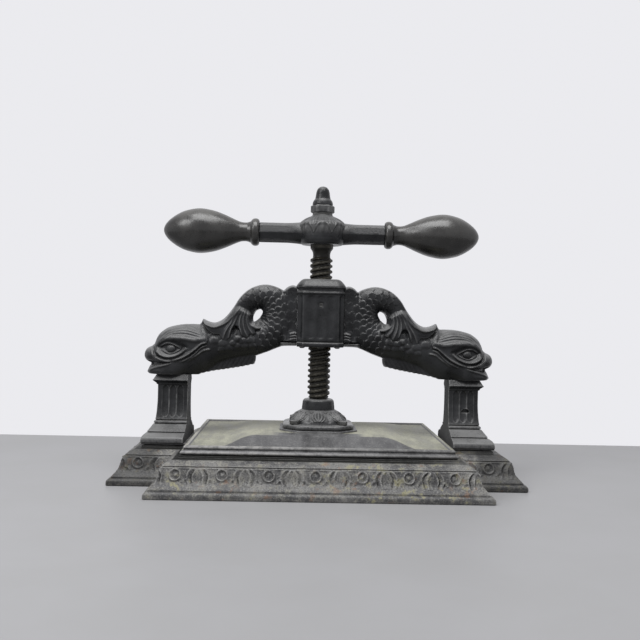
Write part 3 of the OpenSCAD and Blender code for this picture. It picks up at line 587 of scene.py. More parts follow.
BLACK = {"dark": colour(0.009, 0.0095, 0.0105), "pale": colour(0.026, 0.027, 0.029)}
LOOKS = {
    "black_iron": dict(BLACK, worn=grey(0.18), rough=0.29),
    "dolphin_iron": dict(BLACK, worn=grey(0.18), rough=0.29, edged=0.55),
    "box_iron": dict(BLACK, worn=grey(0.15), rough=0.33, edged=0.25),
    "handle_iron": dict(BLACK, worn=grey(0.15), rough=0.31, dust_and_top_light=0.6, rubbed=HUB_RUBBED),
    "smooth_iron": dict(
        dark=colour(0.011, 0.0105, 0.0095), pale=colour(0.028, 0.027, 0.025),
        worn=colour(0.105, 0.102, 0.096), rough=0.26, grain=0.12, dust_and_top_light=0.6, gloss=0.55
    ),
    "screw_steel": dict(
        dark=colour(0.007, 0.0065, 0.005), pale=colour(0.022, 0.020, 0.016),
        worn=colour(0.065, 0.060, 0.048), rough=0.42, grain=0.25, metallic=0.2, dust_and_top_light=0.5
    ),
    "dark_steel": dict(
        dark=grey(0.010), pale=colour(0.028, 0.0275, 0.0265), worn=colour(0.11, 0.11, 0.106),
        rough=0.42, grain=0.3, metallic=0.3
    ),
    "bronze": dict(
        dark=colour(0.13, 0.085, 0.035), pale=colour(0.30, 0.20, 0.09), worn=colour(0.45, 0.33, 0.17),
        rough=0.40, grain=0.2, metallic=0.8, dust_and_top_light=0.3
    ),
}
MATERIALS = {name: iron(name, **look) for name, look in LOOKS.items()}
MATERIALS["worn_iron"] = bed_iron()
MATERIALS["platen_iron"] = platen_iron()

SLOT_OF = {row["node"]: row["material_slot"] for row in frame["record"]["subparts"]}
for node_name, node_object in frame["nodes"].items():
    for place in node_object.material_slots:
        place.material = MATERIALS[SLOT_OF[node_name]]


# Dolphin arms
# An arm is drawn in its plane: u runs out from the box's side, v up from the pillar's top.

ARM_STEP = 0.8
ARM_U = (-2.4, 187.0)
ARM_V = (-2.4, 114.0)
ARM_HALF = 27.2
ARM_GAP = 0.05
EDGE_ROUND = 11
EDGE_HALF = 27
ROPE_PITCH = 5.2
ROPE_LEAN = 0.6
ROPE_HALF = 10.7
ROPE_RISE = 0.6
ROPE_CUT = 0.7
SCALE_LONG = 6.6
SCALE_WIDE = 8.4
SCALE_LAP = 1.8
SCALE_RISE = 1.9
LOBE_RISE = 1.5
HEAD_ROUND = 25
HEAD_HALF = 23
HEAD_RISE = 0.6
HEAD_LEAST = 3
EYE = (148.2, 30.6)
EYE_HALF = (5.8, 4.3)
EYE_RISE = 3.8
SOCKET_DEPTH = 4.2
SOCKET_EDGE = (-2, 5)
MOUTH_OPEN = 2.6
MOUTH_SHUT = 0.5
MOUTH_DEPTH = 8.5
MOUTH_EDGE = (-0.5, 1.0)
MOUTH_RISE = 0.75
FAN_RIM = 2.2
FAN_HALF = 12
# Width and height of the fan's ribs, and of the ribs beside the box
FAN_RIB = (1.5, 1.9)
BOX_RIB = (1.3, 2.4)
BOX_RIB_LINE = [(-3, 0), (3, 0.5), (9.0, -0.8)]

# Limits along u or v are (none, full)
# Plain forms as (half thickness, limits along u, limits along v)
NECK = (16.5, (24, 14), (40, 43))
SHOULDER = (17, (18, 15), (96, 103))
BLOCK = (19, (24, 17), (41.5, 40.2))
BARE_BELLY = (1, (44, 56), (47, 40))
# The scales' limits along the coil from its head and back from its tail, and beside the box
SCALES_HEAD = (0, 10)
SCALES_TAIL = (12, 40)
SCALES_BOX_U = (6, 24)
ROPE_FRONT_U = (46, 49)
ROPE_BACK_U = (122, 114)
# The belly's line falls towards the head
BELLY_FALL = 0.165
BELLY_U = 50.5
BELLY_V = (20, 14)
# Widths of the head's soft border as (width, limits along v), and its own limits
HEAD_SOFT = [(14, (24, 6)), (4, (41, 47))]
HEAD_EDGE = (-0.6, 1.0)
# The fan stands out further down and falls back at its foot, as (change of half thickness, limits along v)
FAN_STEPS = [(7.5, (92, 74)), (2.8, (74, 52)), (-1.0, (58, 40))]
FAN_BACK = 2.2
FAN_BACK_U = (92, 112)
FAN_SOFT = 6
FAN_SOFT_V = (70, 80)

# Stations of the body from the head to the tail as [u, v, half height, half thickness]
BODY = [
    (158, 20, 25, 20), (142, 25, 31, 22), (122, 29, 31.5, 22.5), (101, 35.5, 26, 21.5),
    (80, 40.5, 24, 20.5), (61, 44, 23.5, 20.5), (43, 46.5, 22, 20.5), (28, 56.5, 21, 20.5),
    (22, 73, 22, 20), (26, 88, 20, 19), (39, 95.5, 16, 18), (54, 93, 15.5, 17.5),
    (65, 84, 15, 17), (73, 73, 12, 16),
]
# Outlines are smooth pieces that meet in corners, each from the end of the one before it
OUTLINE = [
    [(-10, 108.4), (1.7, 108.4)],
    [(4.5, 109.6), (8.5, 109.2), (12.5, 107.2), (16.9, 103)],
    [(23.7, 106.5), (35.7, 109.6), (47.5, 108.4), (59.2, 103.1), (69.2, 93.5), (77.3, 80.6), (87.2, 68.5),
     (97.2, 62.9), (105.5, 63.6), (112.8, 67)],
    [(114.2, 63), (117, 60)],
    [(126, 60.3), (139.3, 59.4), (152.7, 56.2), (160, 52), (164.8, 47.5), (168, 41.8), (169.9, 36.2)],
    [(173.2, 33.2), (177.2, 31.4), (180.6, 28), (182, 23.2), (181.4, 18.8), (178.4, 15), (173.6, 12.5)],
    [(175.8, 8.5), (178.5, 2.2)],
    [(175, -2), (169, -12)],
    [(150, -14), (124, -10), (116, -0.5), (101, 3.8), (84.2, 6.7), (67.3, 9.6), (50.5, 13.4)],
    [(49, 18), (48.7, 23.6)],
    [(33.9, 29), (21, 34.6), (13, 36.2), (-10, 36.4)],
]
HOLE = [(44.3, 80), (41.6, 77), (43.5, 72), (47.5, 67.2), (51.6, 64.8), (53, 67.4), (52.4, 72.4), (49, 78)]
HEAD = [
    [(186, -20), (186, 64), (113.5, 64)],
    [(108, 53), (104.5, 43), (106.3, 38)],
    [(112, 35.8), (120.1, 29), (128.3, 22.8), (136.4, 18.6), (142, 16.2)],
    [(136, 8), (130, -20)],
]
FAN = [
    [(54, 84), (53, 75), (52, 68.4), (49.6, 63.2), (45.6, 59.8), (40.3, 58.2)],
    [(43.5, 55), (48, 54)],
    [(47.2, 51), (49.2, 48.8)],
    [(52, 48.6), (54.6, 48.4)],
    [(56.6, 45.8), (60.2, 44.4), (64, 45.6), (67.6, 48.6)],
    [(69.2, 54.8), (72.4, 57.9), (75.5, 55.4), (76.6, 49.4)],
    [(79, 43.6), (84, 39.4)],
    [(89, 41.6), (92.6, 47.6)],
    [(99.3, 47.8), (105.6, 51.8), (110.4, 58), (113.5, 68)],
    [(100, 72), (84, 86), (72, 97), (62, 92), (54, 84)],
]
FAN_RIBS = [
    [(66, 86), (74, 74), (84, 63), (97, 57.5), (110, 62)],
    [(64.5, 84), (72.8, 72.8), (78, 63), (84, 53), (87.5, 43)],
    [(63, 82), (70.2, 72), (74.6, 62), (79, 52), (80.5, 44)],
    [(62, 80.6), (67.4, 69), (68, 59.4), (65, 48)],
    [(59.6, 80.6), (63.6, 68.6), (62.6, 57.3), (57.6, 46)],
    [(57, 80), (59.4, 67), (57, 57.5), (51, 49.5)],
    [(55, 77.8), (55.6, 66), (51, 58.5), (43, 57)],
]
BOX_RIBS = (41.8, 45.0, 48.2, 51.4)
SCALE_LINE = [
    (98, 36), (82, 38), (66, 41), (52, 43.5), (40, 48), (28, 58), (22, 73), (27, 88), (40, 96), (55, 93),
    (68, 80), (78, 68),
]
# Large scales on the body under the fan as (u, v, radius)
LOBES = [
    (97.7, 40.6, 5.8), (87.0, 37.0, 6.0), (75.5, 38.0, 4.2), (70.2, 43.2, 4.6), (63.3, 40.6, 4.8),
    (54.5, 41.7, 5.0), (41.7, 50.0, 7.0), (69.2, 34.8, 4.2), (88.7, 30.6, 4.6), (79.7, 31.6, 5.0),
    (61.8, 34.8, 4.6), (52.0, 35.6, 4.4),
]
# Gills as (width, height, line)
GILLS = [
    (1.2, 2.2, [(146, 16.6), (136.4, 19.4), (128.3, 23.7), (120.1, 29.9), (112, 36.6), (105, 38.6)]),
    (1.1, 1.9, [(138, 14.6), (127.4, 19.6), (119.2, 25.7), (112.8, 32.4), (106, 35.2)]),
    (1.1, 1.6, [(129, 15.6), (118.3, 23.1), (109.4, 29.3), (101, 31)]),
    (1.0, -1.2, [(140, 16.4), (128, 21.6), (119.8, 27.8), (112.2, 34.6), (106, 36.8)]),
]
BROW = [
    (3.0, 2.6, [(167.5, 34), (161.6, 39), (155.1, 42.4), (145.2, 43.6), (132.8, 43), (119, 41.4), (107, 43)]),
]
SOCKET = [
    (165, 33), (158, 38.4), (147, 40.2), (136, 38), (128, 33), (134, 26), (143, 22.4), (153, 22), (161, 26),
]
MOUTH = [(176, 13.6), (166, 12.6), (156, 13.4), (146.5, 14.9)]
# Lids, folds, lips and the lines on the crown as (width, height, line)
HEAD_LINES = [
    (1.0, 2.6, [(162, 32.2), (155.8, 36.2), (150, 37), (144.4, 35.6), (135.5, 31)]),
    (1.0, 2.2, [(160, 30), (153.9, 26.6), (149, 25.2), (142.4, 27), (135.5, 31)]),
    (1.5, 2.8, [(166, 27.5), (159.6, 23.2), (152.2, 21.2), (144.8, 22.2), (136.6, 26), (130.5, 32)]),
    (1.4, -1.6, [(168, 27), (161, 21), (153, 18.7), (144, 19.4), (135, 23.4), (127, 30)]),
    (1.5, 2.4, [(172.4, 31), (169, 22.8), (163.7, 18.8), (157, 16.9), (147, 14.8)]),
    (0.9, -2.0, [(170, 32), (166.6, 23.2), (160, 19.4), (152, 17.9)]),
    (0.8, 0.9, [(160.8, 41.2), (152.8, 48.9), (141.3, 52.4), (128.9, 52.7), (114, 48.2)]),
    (0.8, 0.9, [(157.6, 42.8), (149.5, 48.2), (139.6, 49.9), (128.8, 49.6), (113, 45.6)]),
    (0.8, 0.7, [(161, 45.5), (152, 52.4), (140, 55.6), (128, 55.8), (116, 52)]),
    (0.7, 0.8, [(156, 41.8), (148, 45.6), (138.6, 46.8), (128.6, 46.2), (113, 42.8)]),
    (0.7, 0.7, [(159, 48.6), (150, 55), (138.6, 58), (127, 58.2), (117, 55.6)]),
    (1.2, 1.6, [(177, 3.4), (168.4, 7.4), (161, 9.6), (150, 12.6)]),
]


def ball_chain(stations, u, v):
    """Half thickness of a body through stations of [u, v, half height, half thickness]."""
    best = np.zeros(u.shape)
    for cu, cv, h, t in smooth_line(stations):
        best = np.maximum(best, t * dome(u, v, cu, cv, h))
    return best


def plain_form(form, u, v):
    half, along, up = form
    return half * fade(u, *along) * fade(v, *up)


def stepped(start, steps, v):
    """A value that changes over steps as (change, limits along v)."""
    for change, limits in steps:
        start = start + change * fade(v, *limits)
    return start


def scales(u, v):
    """Rows of overlapping scales on the coil, whose free edges point to the tail."""
    line = smooth_line(SCALE_LINE)
    steps = np.hypot(*np.diff(line, axis=0).T)
    length = np.concatenate([[0], np.cumsum(steps)])
    place = line_distance(line, u, v)[1]
    index = np.clip(place.astype(int), 0, len(line) - 2)
    way = (line[index + 1] - line[index]) / steps[index][..., None]
    along = np.interp(place, np.arange(len(line)), length)
    across = (u - line[index, 0]) * way[..., 1] - (v - line[index, 1]) * way[..., 0]
    height = np.zeros(u.shape)
    first = np.floor(along / SCALE_LONG)
    for step in (2, 1, 0, -1):
        row = first + step
        share = np.mod(across / SCALE_WIDE + 0.5 * np.mod(row, 2), 1)
        free = row * SCALE_LONG + 0.5 * SCALE_LONG * np.sqrt(bowl(2 * share - 1))
        height = np.where(along <= free, 1 - (free - along) / (SCALE_LAP * SCALE_LONG), height)
    # They fade at both ends and on the belly, and are flatter beside the box
    shown = fade(along, *SCALES_HEAD) * fade(along, *(length[-1] - np.array(SCALES_TAIL)))
    shown = shown * (1 - plain_form(BARE_BELLY, u, v))
    shown = shown * (0.5 + 0.5 * fade(u, *SCALES_BOX_U))
    return SCALE_RISE * (height - 0.5) * shown


def lobes(u, v):
    """Large rounded scales that lie over one another."""
    height = np.zeros(u.shape)
    for cu, cv, r in LOBES:
        height = np.maximum(height, LOBE_RISE * dome(u, v, cu, cv, r) * fade(v, cv - r, cv))
    return height


def head_carving(u, v):
    """Brow, eye, folds, lips and mouth of the head."""
    eye_gap = inside_distance([SOCKET + SOCKET[:1]], u, v)
    out = with_ridges(-SOCKET_DEPTH * fade(eye_gap, *SOCKET_EDGE), BROW, u, v)
    ball = 1 - ((u - EYE[0]) / EYE_HALF[0]) ** 2 - ((v - EYE[1]) / EYE_HALF[1]) ** 2
    out = np.maximum(out, -SOCKET_DEPTH + EYE_RISE * np.sqrt(np.clip(ball, 0, 1)))
    out = with_ridges(out, HEAD_LINES, u, v)
    d, inward = along_line(MOUTH, u, v)
    half = MOUTH_OPEN * (1 - inward) + MOUTH_SHUT
    return out - MOUTH_DEPTH * fade(half - d, *MOUTH_EDGE) * (1 - MOUTH_RISE * inward)


def arm_relief(u, v):
    """Half thickness of the arm over its plane, and the inside distance of its outline."""
    edge = inside_distance(OUTLINE, u, v)
    edge = np.minimum(edge, -inside_distance([HOLE + HOLE[:1]], u, v))
    # Rope band along the belly
    rope = np.abs(np.sin(np.pi * (u + ROPE_LEAN * v) / ROPE_PITCH))
    on_strip = fade(u, *ROPE_FRONT_U) * fade(u, *ROPE_BACK_U)
    strip = (ROPE_HALF + ROPE_RISE * np.sqrt(rope)) * on_strip
    below_strip = fade(v + BELLY_FALL * (u - BELLY_U), *BELLY_V)
    edge = edge - ROPE_CUT * (1 - rope) * on_strip * below_strip
    relief = smooth_max(ball_chain(BODY, u, v), plain_form(NECK, u, v), 5.0) + scales(u, v) + lobes(u, v)
    relief = smooth_max(relief, strip, 1.0)
    relief = np.maximum(relief, np.maximum(plain_form(BLOCK, u, v), plain_form(SHOULDER, u, v)))
    box_ribs = [(*BOX_RIB, [(out, base + rise) for out, rise in BOX_RIB_LINE]) for base in BOX_RIBS]
    relief = with_ridges(relief, box_ribs, u, v)
    head = rounded(edge, HEAD_ROUND, HEAD_HALF) + HEAD_RISE + head_carving(u, v)
    in_head = fade(inside_distance(HEAD, u, v) / stepped(1, HEAD_SOFT, v), *HEAD_EDGE)
    relief = relief * (1 - in_head) + np.maximum(head, HEAD_LEAST) * in_head
    relief = with_ridges(relief, GILLS, u, v)
    fan_ribs = [(*FAN_RIB, line) for line in FAN_RIBS]
    fan = with_ridges(stepped(FAN_HALF, FAN_STEPS, v), fan_ribs, u, v)
    fan = fan - FAN_BACK * fade(u, *FAN_BACK_U)
    fan_edge = inside_distance(FAN, u, v) / (1 + FAN_SOFT * fade(v, *FAN_SOFT_V))
    return np.maximum(relief, rounded(fan_edge, FAN_RIM, 1) * fan), edge


def arm_shell():
    """The arm as one closed mesh in its drawing frame, as [u, y, v]."""
    u, v = np.meshgrid(np.arange(*ARM_U, ARM_STEP), np.arange(*ARM_V, ARM_STEP), indexing="ij")
    relief, edge = arm_relief(u, v)
    half = np.where(edge < EDGE_ROUND, np.minimum(relief, rounded(edge, EDGE_ROUND, EDGE_HALF)), relief)
    square = np.where(edge > 0, half**2, 2 * EDGE_HALF**2 * edge / EDGE_ROUND)
    slope = np.gradient(square, ARM_STEP)
    steep = (slope[0] ** 2 + slope[1] ** 2)[:, None, :]
    y = np.arange(-ARM_HALF, ARM_HALF + ARM_STEP, ARM_STEP)[None, :, None]
    field = (square[:, None, :] - y**2) / np.sqrt(steep + 4 * y**2 + 1)
    field = np.minimum(field, np.minimum(u, v)[:, None, :] - ARM_GAP)
    return surface_net(field, np.array([ARM_U[0], -ARM_HALF, ARM_V[0]]), ARM_STEP)


RIGHT_ARM = moved(arm_shell(), (BOX_HIGH[0], 0, PILLAR_HIGH[2]))
pair("dolphin", "carved", "frame", "black_iron", RIGHT_ARM, mirrored(RIGHT_ARM), SHARP_CARVED, "dolphin_iron")


# Bed

BED_HALF = (183.0, 149.0)
FOOT_HALF = (235.0, 84.0)
BAND_INSET = 11.8
BAND_PERIOD = 48.5
BAND_SHIFT = -4.7
BAND_Z = (12.4, 31.0)
ROSETTE_Z = 24.0
ROSETTE_REACH = 9.0
RING_R = 5.6
RING_WIDE = 0.95
RING_RISE = 1.3
DISH_DEPTH = 1.1
DISH_R = (5.0, 3.8)
BUTTON_WIDE = 1.7
BUTTON_RISE = 1.2
LEAF_REACH = 24.25
# Share of the relief that is left at a mitre, and the length over which it returns
MITRE_SHARE = 0.35
MITRE_REACH = 6
BED_STEP = 1.0
TIE_X = 173.5
TIE_BOSS = [(14.0, 21.3), (15.0, 22.1), (15.0, 33.0)]
BOSS_SIDES = 40
# Moulding as [inset, height]
BED_PROFILE = [
    (1.0, 0.0), (0.0, 1.0), (0.0, 4.4), (0.5, 6.0), (1.6, 7.2), (3.0, 7.8), (4.3, 7.5), (4.5, 8.4),
    (4.4, 9.4), (5.8, 11.2), (7.8, 13.0), (9.8, 14.6), (11.4, 16.2), (12.3, 18.0), (12.8, 20.0),
    (13.4, 22.5), (14.4, 26.4), (15.6, 29.6), (16.4, 31.0), (17.7, 31.1), (17.9, 31.9), (17.2, 32.4),
    (20.6, 34.9), (24.4, 36.9), (27.6, 38.0), (28.8, 38.1), (31.6, 38.2), (32.3, 38.6), (32.5, 39.2),
    (32.6, 40.4), (33.4, 40.7), (36.0, 40.8), (36.2, 42.0),
]
BED_HOLLOW = [(26.0, 32.0), (25.4, 31.4), (19.6, 14.6), (12.2, 7.8), (9.0, 4.6), (9.0, 0.0)]
# Ridges of the leaves between two rosettes as (width, height, line), from a rosette's middle outward
BAND_LINES = [
    (2.0, 1.5, [(24.25, 31), (24.25, 24), (24.25, 13)]),
    (0.8, -1.2, [(24.25, 29.5), (24.25, 23), (24.25, 15)]),
    (1.5, 1.5, [(22.4, 30.5), (20.2, 26), (18.8, 20.5), (20.6, 12.8)]),
    (1.2, 1.5, [(19.8, 30.8), (15.8, 28.6), (12.8, 23), (14.8, 13.2)]),
    (0.9, -0.9, [(20.8, 29.4), (17.8, 26.4), (15.8, 21.5), (17.8, 14)]),
    (1.0, 1.0, [(16, 31), (10, 30.6), (5, 31), (-5, 31)]),
    (1.2, 1.2, [(12.6, 20.4), (9.6, 18.0), (8.2, 15.6)]),
]


def cross_outline():
    """Corners of the bed and its two feet, counter-clockwise."""
    bx, by = BED_HALF
    fx, fy = FOOT_HALF
    half = [(fx, -fy), (fx, fy), (bx, fy), (bx, by), (-bx, by), (-bx, fy)]
    return half + [(-x, -y) for x, y in half]


def mitred(outline, profile, step, relief=None):
    """Loops of a moulding of [inset, height] points round an outline, with true mitres."""
    p = np.asarray(outline, float)
    profile = np.asarray(profile, float)
    way = np.roll(p, -1, axis=0) - p
    lengths = np.linalg.norm(way, axis=1)
    way /= lengths[:, None]
    inward = np.stack([-way[:, 1], way[:, 0]], -1)
    mitre = inward + np.roll(inward, 1, axis=0)
    tangent = np.gradient(profile, axis=0)
    tangent /= np.linalg.norm(tangent, axis=1, keepdims=True)
    columns = []
    for k, length in enumerate(lengths):
        j = (k + 1) % len(p)
        share = np.arange(round(length / step)) / round(length / step)
        inset = np.repeat(profile[:, :1], len(share), axis=1)
        height = np.repeat(profile[:, 1:], len(share), axis=1)
        if relief is not None:
            turn = (mitre[k] @ way[k], mitre[j] @ way[k])
            along = inset * turn[0] + share * (length + inset * (turn[1] - turn[0]))
            start = BAND_INSET * turn[0]
            row = length + BAND_INSET * (turn[1] - turn[0])
            lift = relief(along - start - row / 2, height, row, BAND_SHIFT * abs(way[k][0]))
            inset = inset - lift * tangent[:, 1:]
            height = height + lift * tangent[:, :1]
        a = p[k] + inset[..., None] * mitre[k]
        b = p[j] + inset[..., None] * mitre[j]
        xy = a + (b - a) * share[:, None]
        columns.append(np.concatenate([xy, height[..., None]], -1))
    return np.concatenate(columns, axis=1)


def arc_length(profile):
    return np.concatenate([[0], np.cumsum(np.linalg.norm(np.diff(profile, axis=0), axis=1))])


def band_relief(along, z, row, shift):
    """Rosettes with leaves between them, by the place along a row from its middle and the height."""
    count = max(1, round(row / BAND_PERIOD))
    period = row / count
    x = np.abs(np.mod((along - shift) / period + count / 2, 1) - 0.5) * period
    spread = (LEAF_REACH - ROSETTE_REACH) / (period / 2 - ROSETTE_REACH)
    x = np.where(x < ROSETTE_REACH, x, ROSETTE_REACH + (x - ROSETTE_REACH) * spread)
    r = np.hypot(x, z - ROSETTE_Z)
    lift = RING_RISE * crest(r - RING_R, RING_WIDE) - DISH_DEPTH * fade(r, *DISH_R)
    lift += BUTTON_RISE * crest(r, BUTTON_WIDE)
    lift = with_ridges(lift, BAND_LINES, x, z)
    # Uneven wear, fading at the mitres, with a fine ripple over all
    wear = 0.78 + 0.34 * np.sin(0.29 * along + 0.21 * z + 1.1) * np.sin(0.113 * along - 0.17 * z)
    lift = lift * wear * (MITRE_SHARE + (1 - MITRE_SHARE) * fade(row / 2 - np.abs(along), 0, MITRE_REACH))
    lift += 0.22 * np.sin(1.9 * along + 2.1 * np.sin(0.7 * z)) * np.sin(1.3 * z + 1.7 * np.sin(0.45 * along))
    foot = fade(z, BAND_Z[0] - 0.6, BAND_Z[0] + 1.2)
    top = fade(z, BAND_Z[1] + 0.3, BAND_Z[1] - 0.8)
    return lift * foot * top


def bed_shell():
    """The moulded outside and the hollow underside as one closed form."""
    loops = mitred(cross_outline(), fine_line(BED_PROFILE, 0.4, 0.8), BED_STEP, band_relief)
    hollow = mitred(cross_outline(), divide(BED_HOLLOW, 6), BED_STEP)
    return loft(np.concatenate([hollow, loops]))


TIE_BOSSES = [moved(revolve(TIE_BOSS, BOSS_SIDES), (x, 0, 0)) for x in (TIE_X, -TIE_X)]
piece("bed_moulded", "frame", "worn_iron", [bed_shell(), *TIE_BOSSES], ["bed"], SHARP_MOULDED)


# Pillars

PLINTH_RUN = (12.5, 39.0)
# Length that stands for the plinth's whole run where its steps are divided
PLINTH_UNIT = 25
SHAFT_HALF = 14.0
SHAFT_W = 36.0
FLUTES = 3
FLUTE_PITCH = 8.8
FLUTE_HALF = 3.9
FLUTE_DEPTH = 1.7
FLUTE_Z = (69.0, 106.6)
SLOT_X = 3.0
SLOT_Z = 80.2
SLOT_HALF = 4.95
SLOT_RISE = 4.7
SLOT_DEPTH = 6
PILLAR_CORNER = 1.0
INNER_CORNER = 0.4
# Points across the front, along the outer side and round an outer corner
FRONT_POINTS = 56
SIDE_POINTS = 40
CORNER_POINTS = 5
# Steps of the plinth as [share of its run, height]
PLINTH_STEPS = [
    (0.965, 42.0), (0.965, 43.2), (0.995, 43.6), (1.0, 44.8), (0.99, 47.0), (0.965, 48.8), (0.92, 50.3),
    (0.85, 51.5), (0.77, 52.3), (0.70, 52.8), (0.65, 53.1), (0.57, 53.3), (0.565, 54.3), (0.605, 54.5),
    (0.59, 55.0), (0.52, 56.2), (0.42, 58.0), (0.33, 59.8), (0.26, 61.3), (0.15, 61.5), (0.145, 62.5),
    (0.215, 62.7), (0.20, 64.4), (0.17, 65.0), (0.09, 65.2), (0.085, 66.0), (0.12, 66.6), (0.09, 69.0),
    (0.05, 75.0), (0.02, 82.0), (0, 90.0),
]
# Steps of the shaft's top and the capital as [projection, height]
CAPITAL_STEPS = [
    (0, 107.2), (1.4, 107.8), (1.8, 109.4), (4.8, 111.8), (5.5, 112.4), (5.5, 113.2), (4.7, 113.9),
    (1.4, 119.5),
]


def pillar_loop(run, out, z, slot):
    """One level of the right pillar, with its inner face flat and its outer corners rounded."""
    x0 = PILLAR_LOW[0]
    x1 = x0 + SHAFT_W + run * PLINTH_RUN[0] + out
    y1 = SHAFT_HALF + run * PLINTH_RUN[1] + out
    corner = PILLAR_CORNER
    across = np.linspace(x0 + INNER_CORNER, x1 - corner, FRONT_POINTS)
    deep = np.linspace(-y1 + corner, y1 - corner, SIDE_POINTS)
    turn = np.radians(np.linspace(-90, 0, CORNER_POINTS)[1:-1])
    arc = np.stack([x1 - corner + corner * np.cos(turn), -y1 + corner + corner * np.sin(turn)], -1)
    front = np.stack([across, np.full(len(across), -y1)], -1)
    side = np.stack([np.full(len(deep), x1), deep], -1)
    half = np.vstack([front, arc, side])
    back = half[: len(front) + len(arc)][::-1] * (1, -1)
    inner = np.stack([np.full(len(deep), x0), -deep], -1)
    loop = np.vstack([half, back, inner])
    from_middle = loop[:, 0] - x0 - SHAFT_W / 2
    near = np.mod(from_middle / FLUTE_PITCH + FLUTES / 2, 1) - 0.5
    on_shaft = np.abs(from_middle) < FLUTES / 2 * FLUTE_PITCH
    shown = min(round_end(z - FLUTE_Z[0], FLUTE_HALF), round_end(FLUTE_Z[1] - z, FLUTE_HALF))
    half_width = FLUTE_HALF * shown + 1e-6
    depth = FLUTE_DEPTH * bowl(near * FLUTE_PITCH / half_width) * on_shaft
    if slot:
        reach = bowl((from_middle - SLOT_X) / SLOT_HALF)
        inside = np.minimum(z - SLOT_Z, SLOT_Z + SLOT_RISE * np.sqrt(reach) - z)
        cut = SLOT_DEPTH * fade(inside, -0.2, 0.8)
        depth = np.maximum(depth, cut * (reach > 0) * (loop[:, 1] < 0))
    loop[:, 1] -= np.sign(loop[:, 1]) * depth * (np.abs(np.abs(loop[:, 1]) - y1) < 0.01)
    return level(loop, z)


def pillar_shell(slot):
    """The right pillar, with or without the slot in its front."""
    steps = [(run * PLINTH_UNIT, 0, z) for run, z in PLINTH_STEPS]
    steps += [(0, out, z) for out, z in CAPITAL_STEPS]
    return loft([pillar_loop(run / PLINTH_UNIT, out, z, slot) for run, out, z in fine_line(steps, 0.3, 0.9)])


pair("pillar", "fluted", "frame", "black_iron", pillar_shell(True), mirrored(pillar_shell(False)))


# Nut box and cap

BOX_HALF = (27.9, 27.5)
BOX_CUT = 7.0
BORE_R = 14.5
OCTAGON_TURN = 2 - math.sqrt(2)
BOX_FLUTE_PITCH = 11.6
BOX_FLUTE_HALF = 4.7
BOX_FLUTE_DEPTH = 1.1
BOX_FLUTE_Z = (165.6, 217.0)
BOX_FLUTE_ENDS = (2.2, 2.5)
CORNER_FLUTE_HALF = 3.6
CORNER_FLUTE_DEPTH = 0.9
SET_SCREW_Z = 205.7
SET_SCREW_R = 2.9
SET_SCREW_DEPTH = 0.9
SET_SCREW_EDGE = 0.3
ON_FACE = 0.1
# Lip and box as [projection to the front, inset all round, height]
BOX_STEPS = [
    (0.4, 0.4, 155.8), (1.8, 0, 156.4), (2.2, 0, 157.6), (2.2, 0, 159.4), (1.7, 0, 160.6), (0.2, 0, 161.2),
    (-0.6, 0.3, 161.6), (-0.3, 0.1, 162.4), (0, 0, 163.2), (0, 0, 217.6), (0.1, -0.1, 218.2),
    (0.5, -0.5, 218.8), (0.6, -0.6, 220.2), (0.2, -0.2, 221.2), (0, 0.6, 221.7),
]
# Cap as [inset, height]
CAP_STEPS = [
    (0.0, 221.7), (0.2, 222.4), (0.2, 225.2), (0.0, 225.6), (-1.2, 225.8), (-1.8, 226.3), (-1.8, 227.2),
    (-1.3, 228.4), (-0.1, 230.2), (1.5, 232.2), (3.3, 234.2), (5.0, 235.6), (7.0, 236.5), (9.0, 236.7),
]
CAP_BORE = [(BORE_R + 0.5, 236.7), (BORE_R, 236.2), (BORE_R, 221.7)]
CAP_SOFT = 3
BOX_SOFT = 1


def octagon(half_x, half_y, cut, inset, z, step=1.0):
    """A square with cut corners, its eight sides moved in by the inset."""
    x = half_x - inset
    y = half_y - inset
    c = cut - OCTAGON_TURN * inset
    quarter = [(x, c - y), (x, y - c), (x - c, y), (c - x, y)]
    corners_xy = np.array(quarter + [(-a, -b) for a, b in quarter])
    points = []
    for k in range(8):
        a = corners_xy[k]
        b = corners_xy[(k + 1) % 8]
        count = round((math.sqrt(2) * cut if k % 2 else 2 * (half_x - cut)) / step)
        points.append(a + (b - a) * (np.arange(count) / count)[:, None])
    return level(np.vstack(points), z)


def soft_corners(loop, reach):
    """A loop with its corners rounded by averaging each point with its neighbours."""
    return np.mean([np.roll(loop, k, axis=0) for k in range(-reach, reach + 1)], axis=0)


def ring_of(loop, radius, z):
    """A circle with its points in the directions of a loop's points."""
    return polar(radius, np.arctan2(loop[:, 1], loop[:, 0]), z)


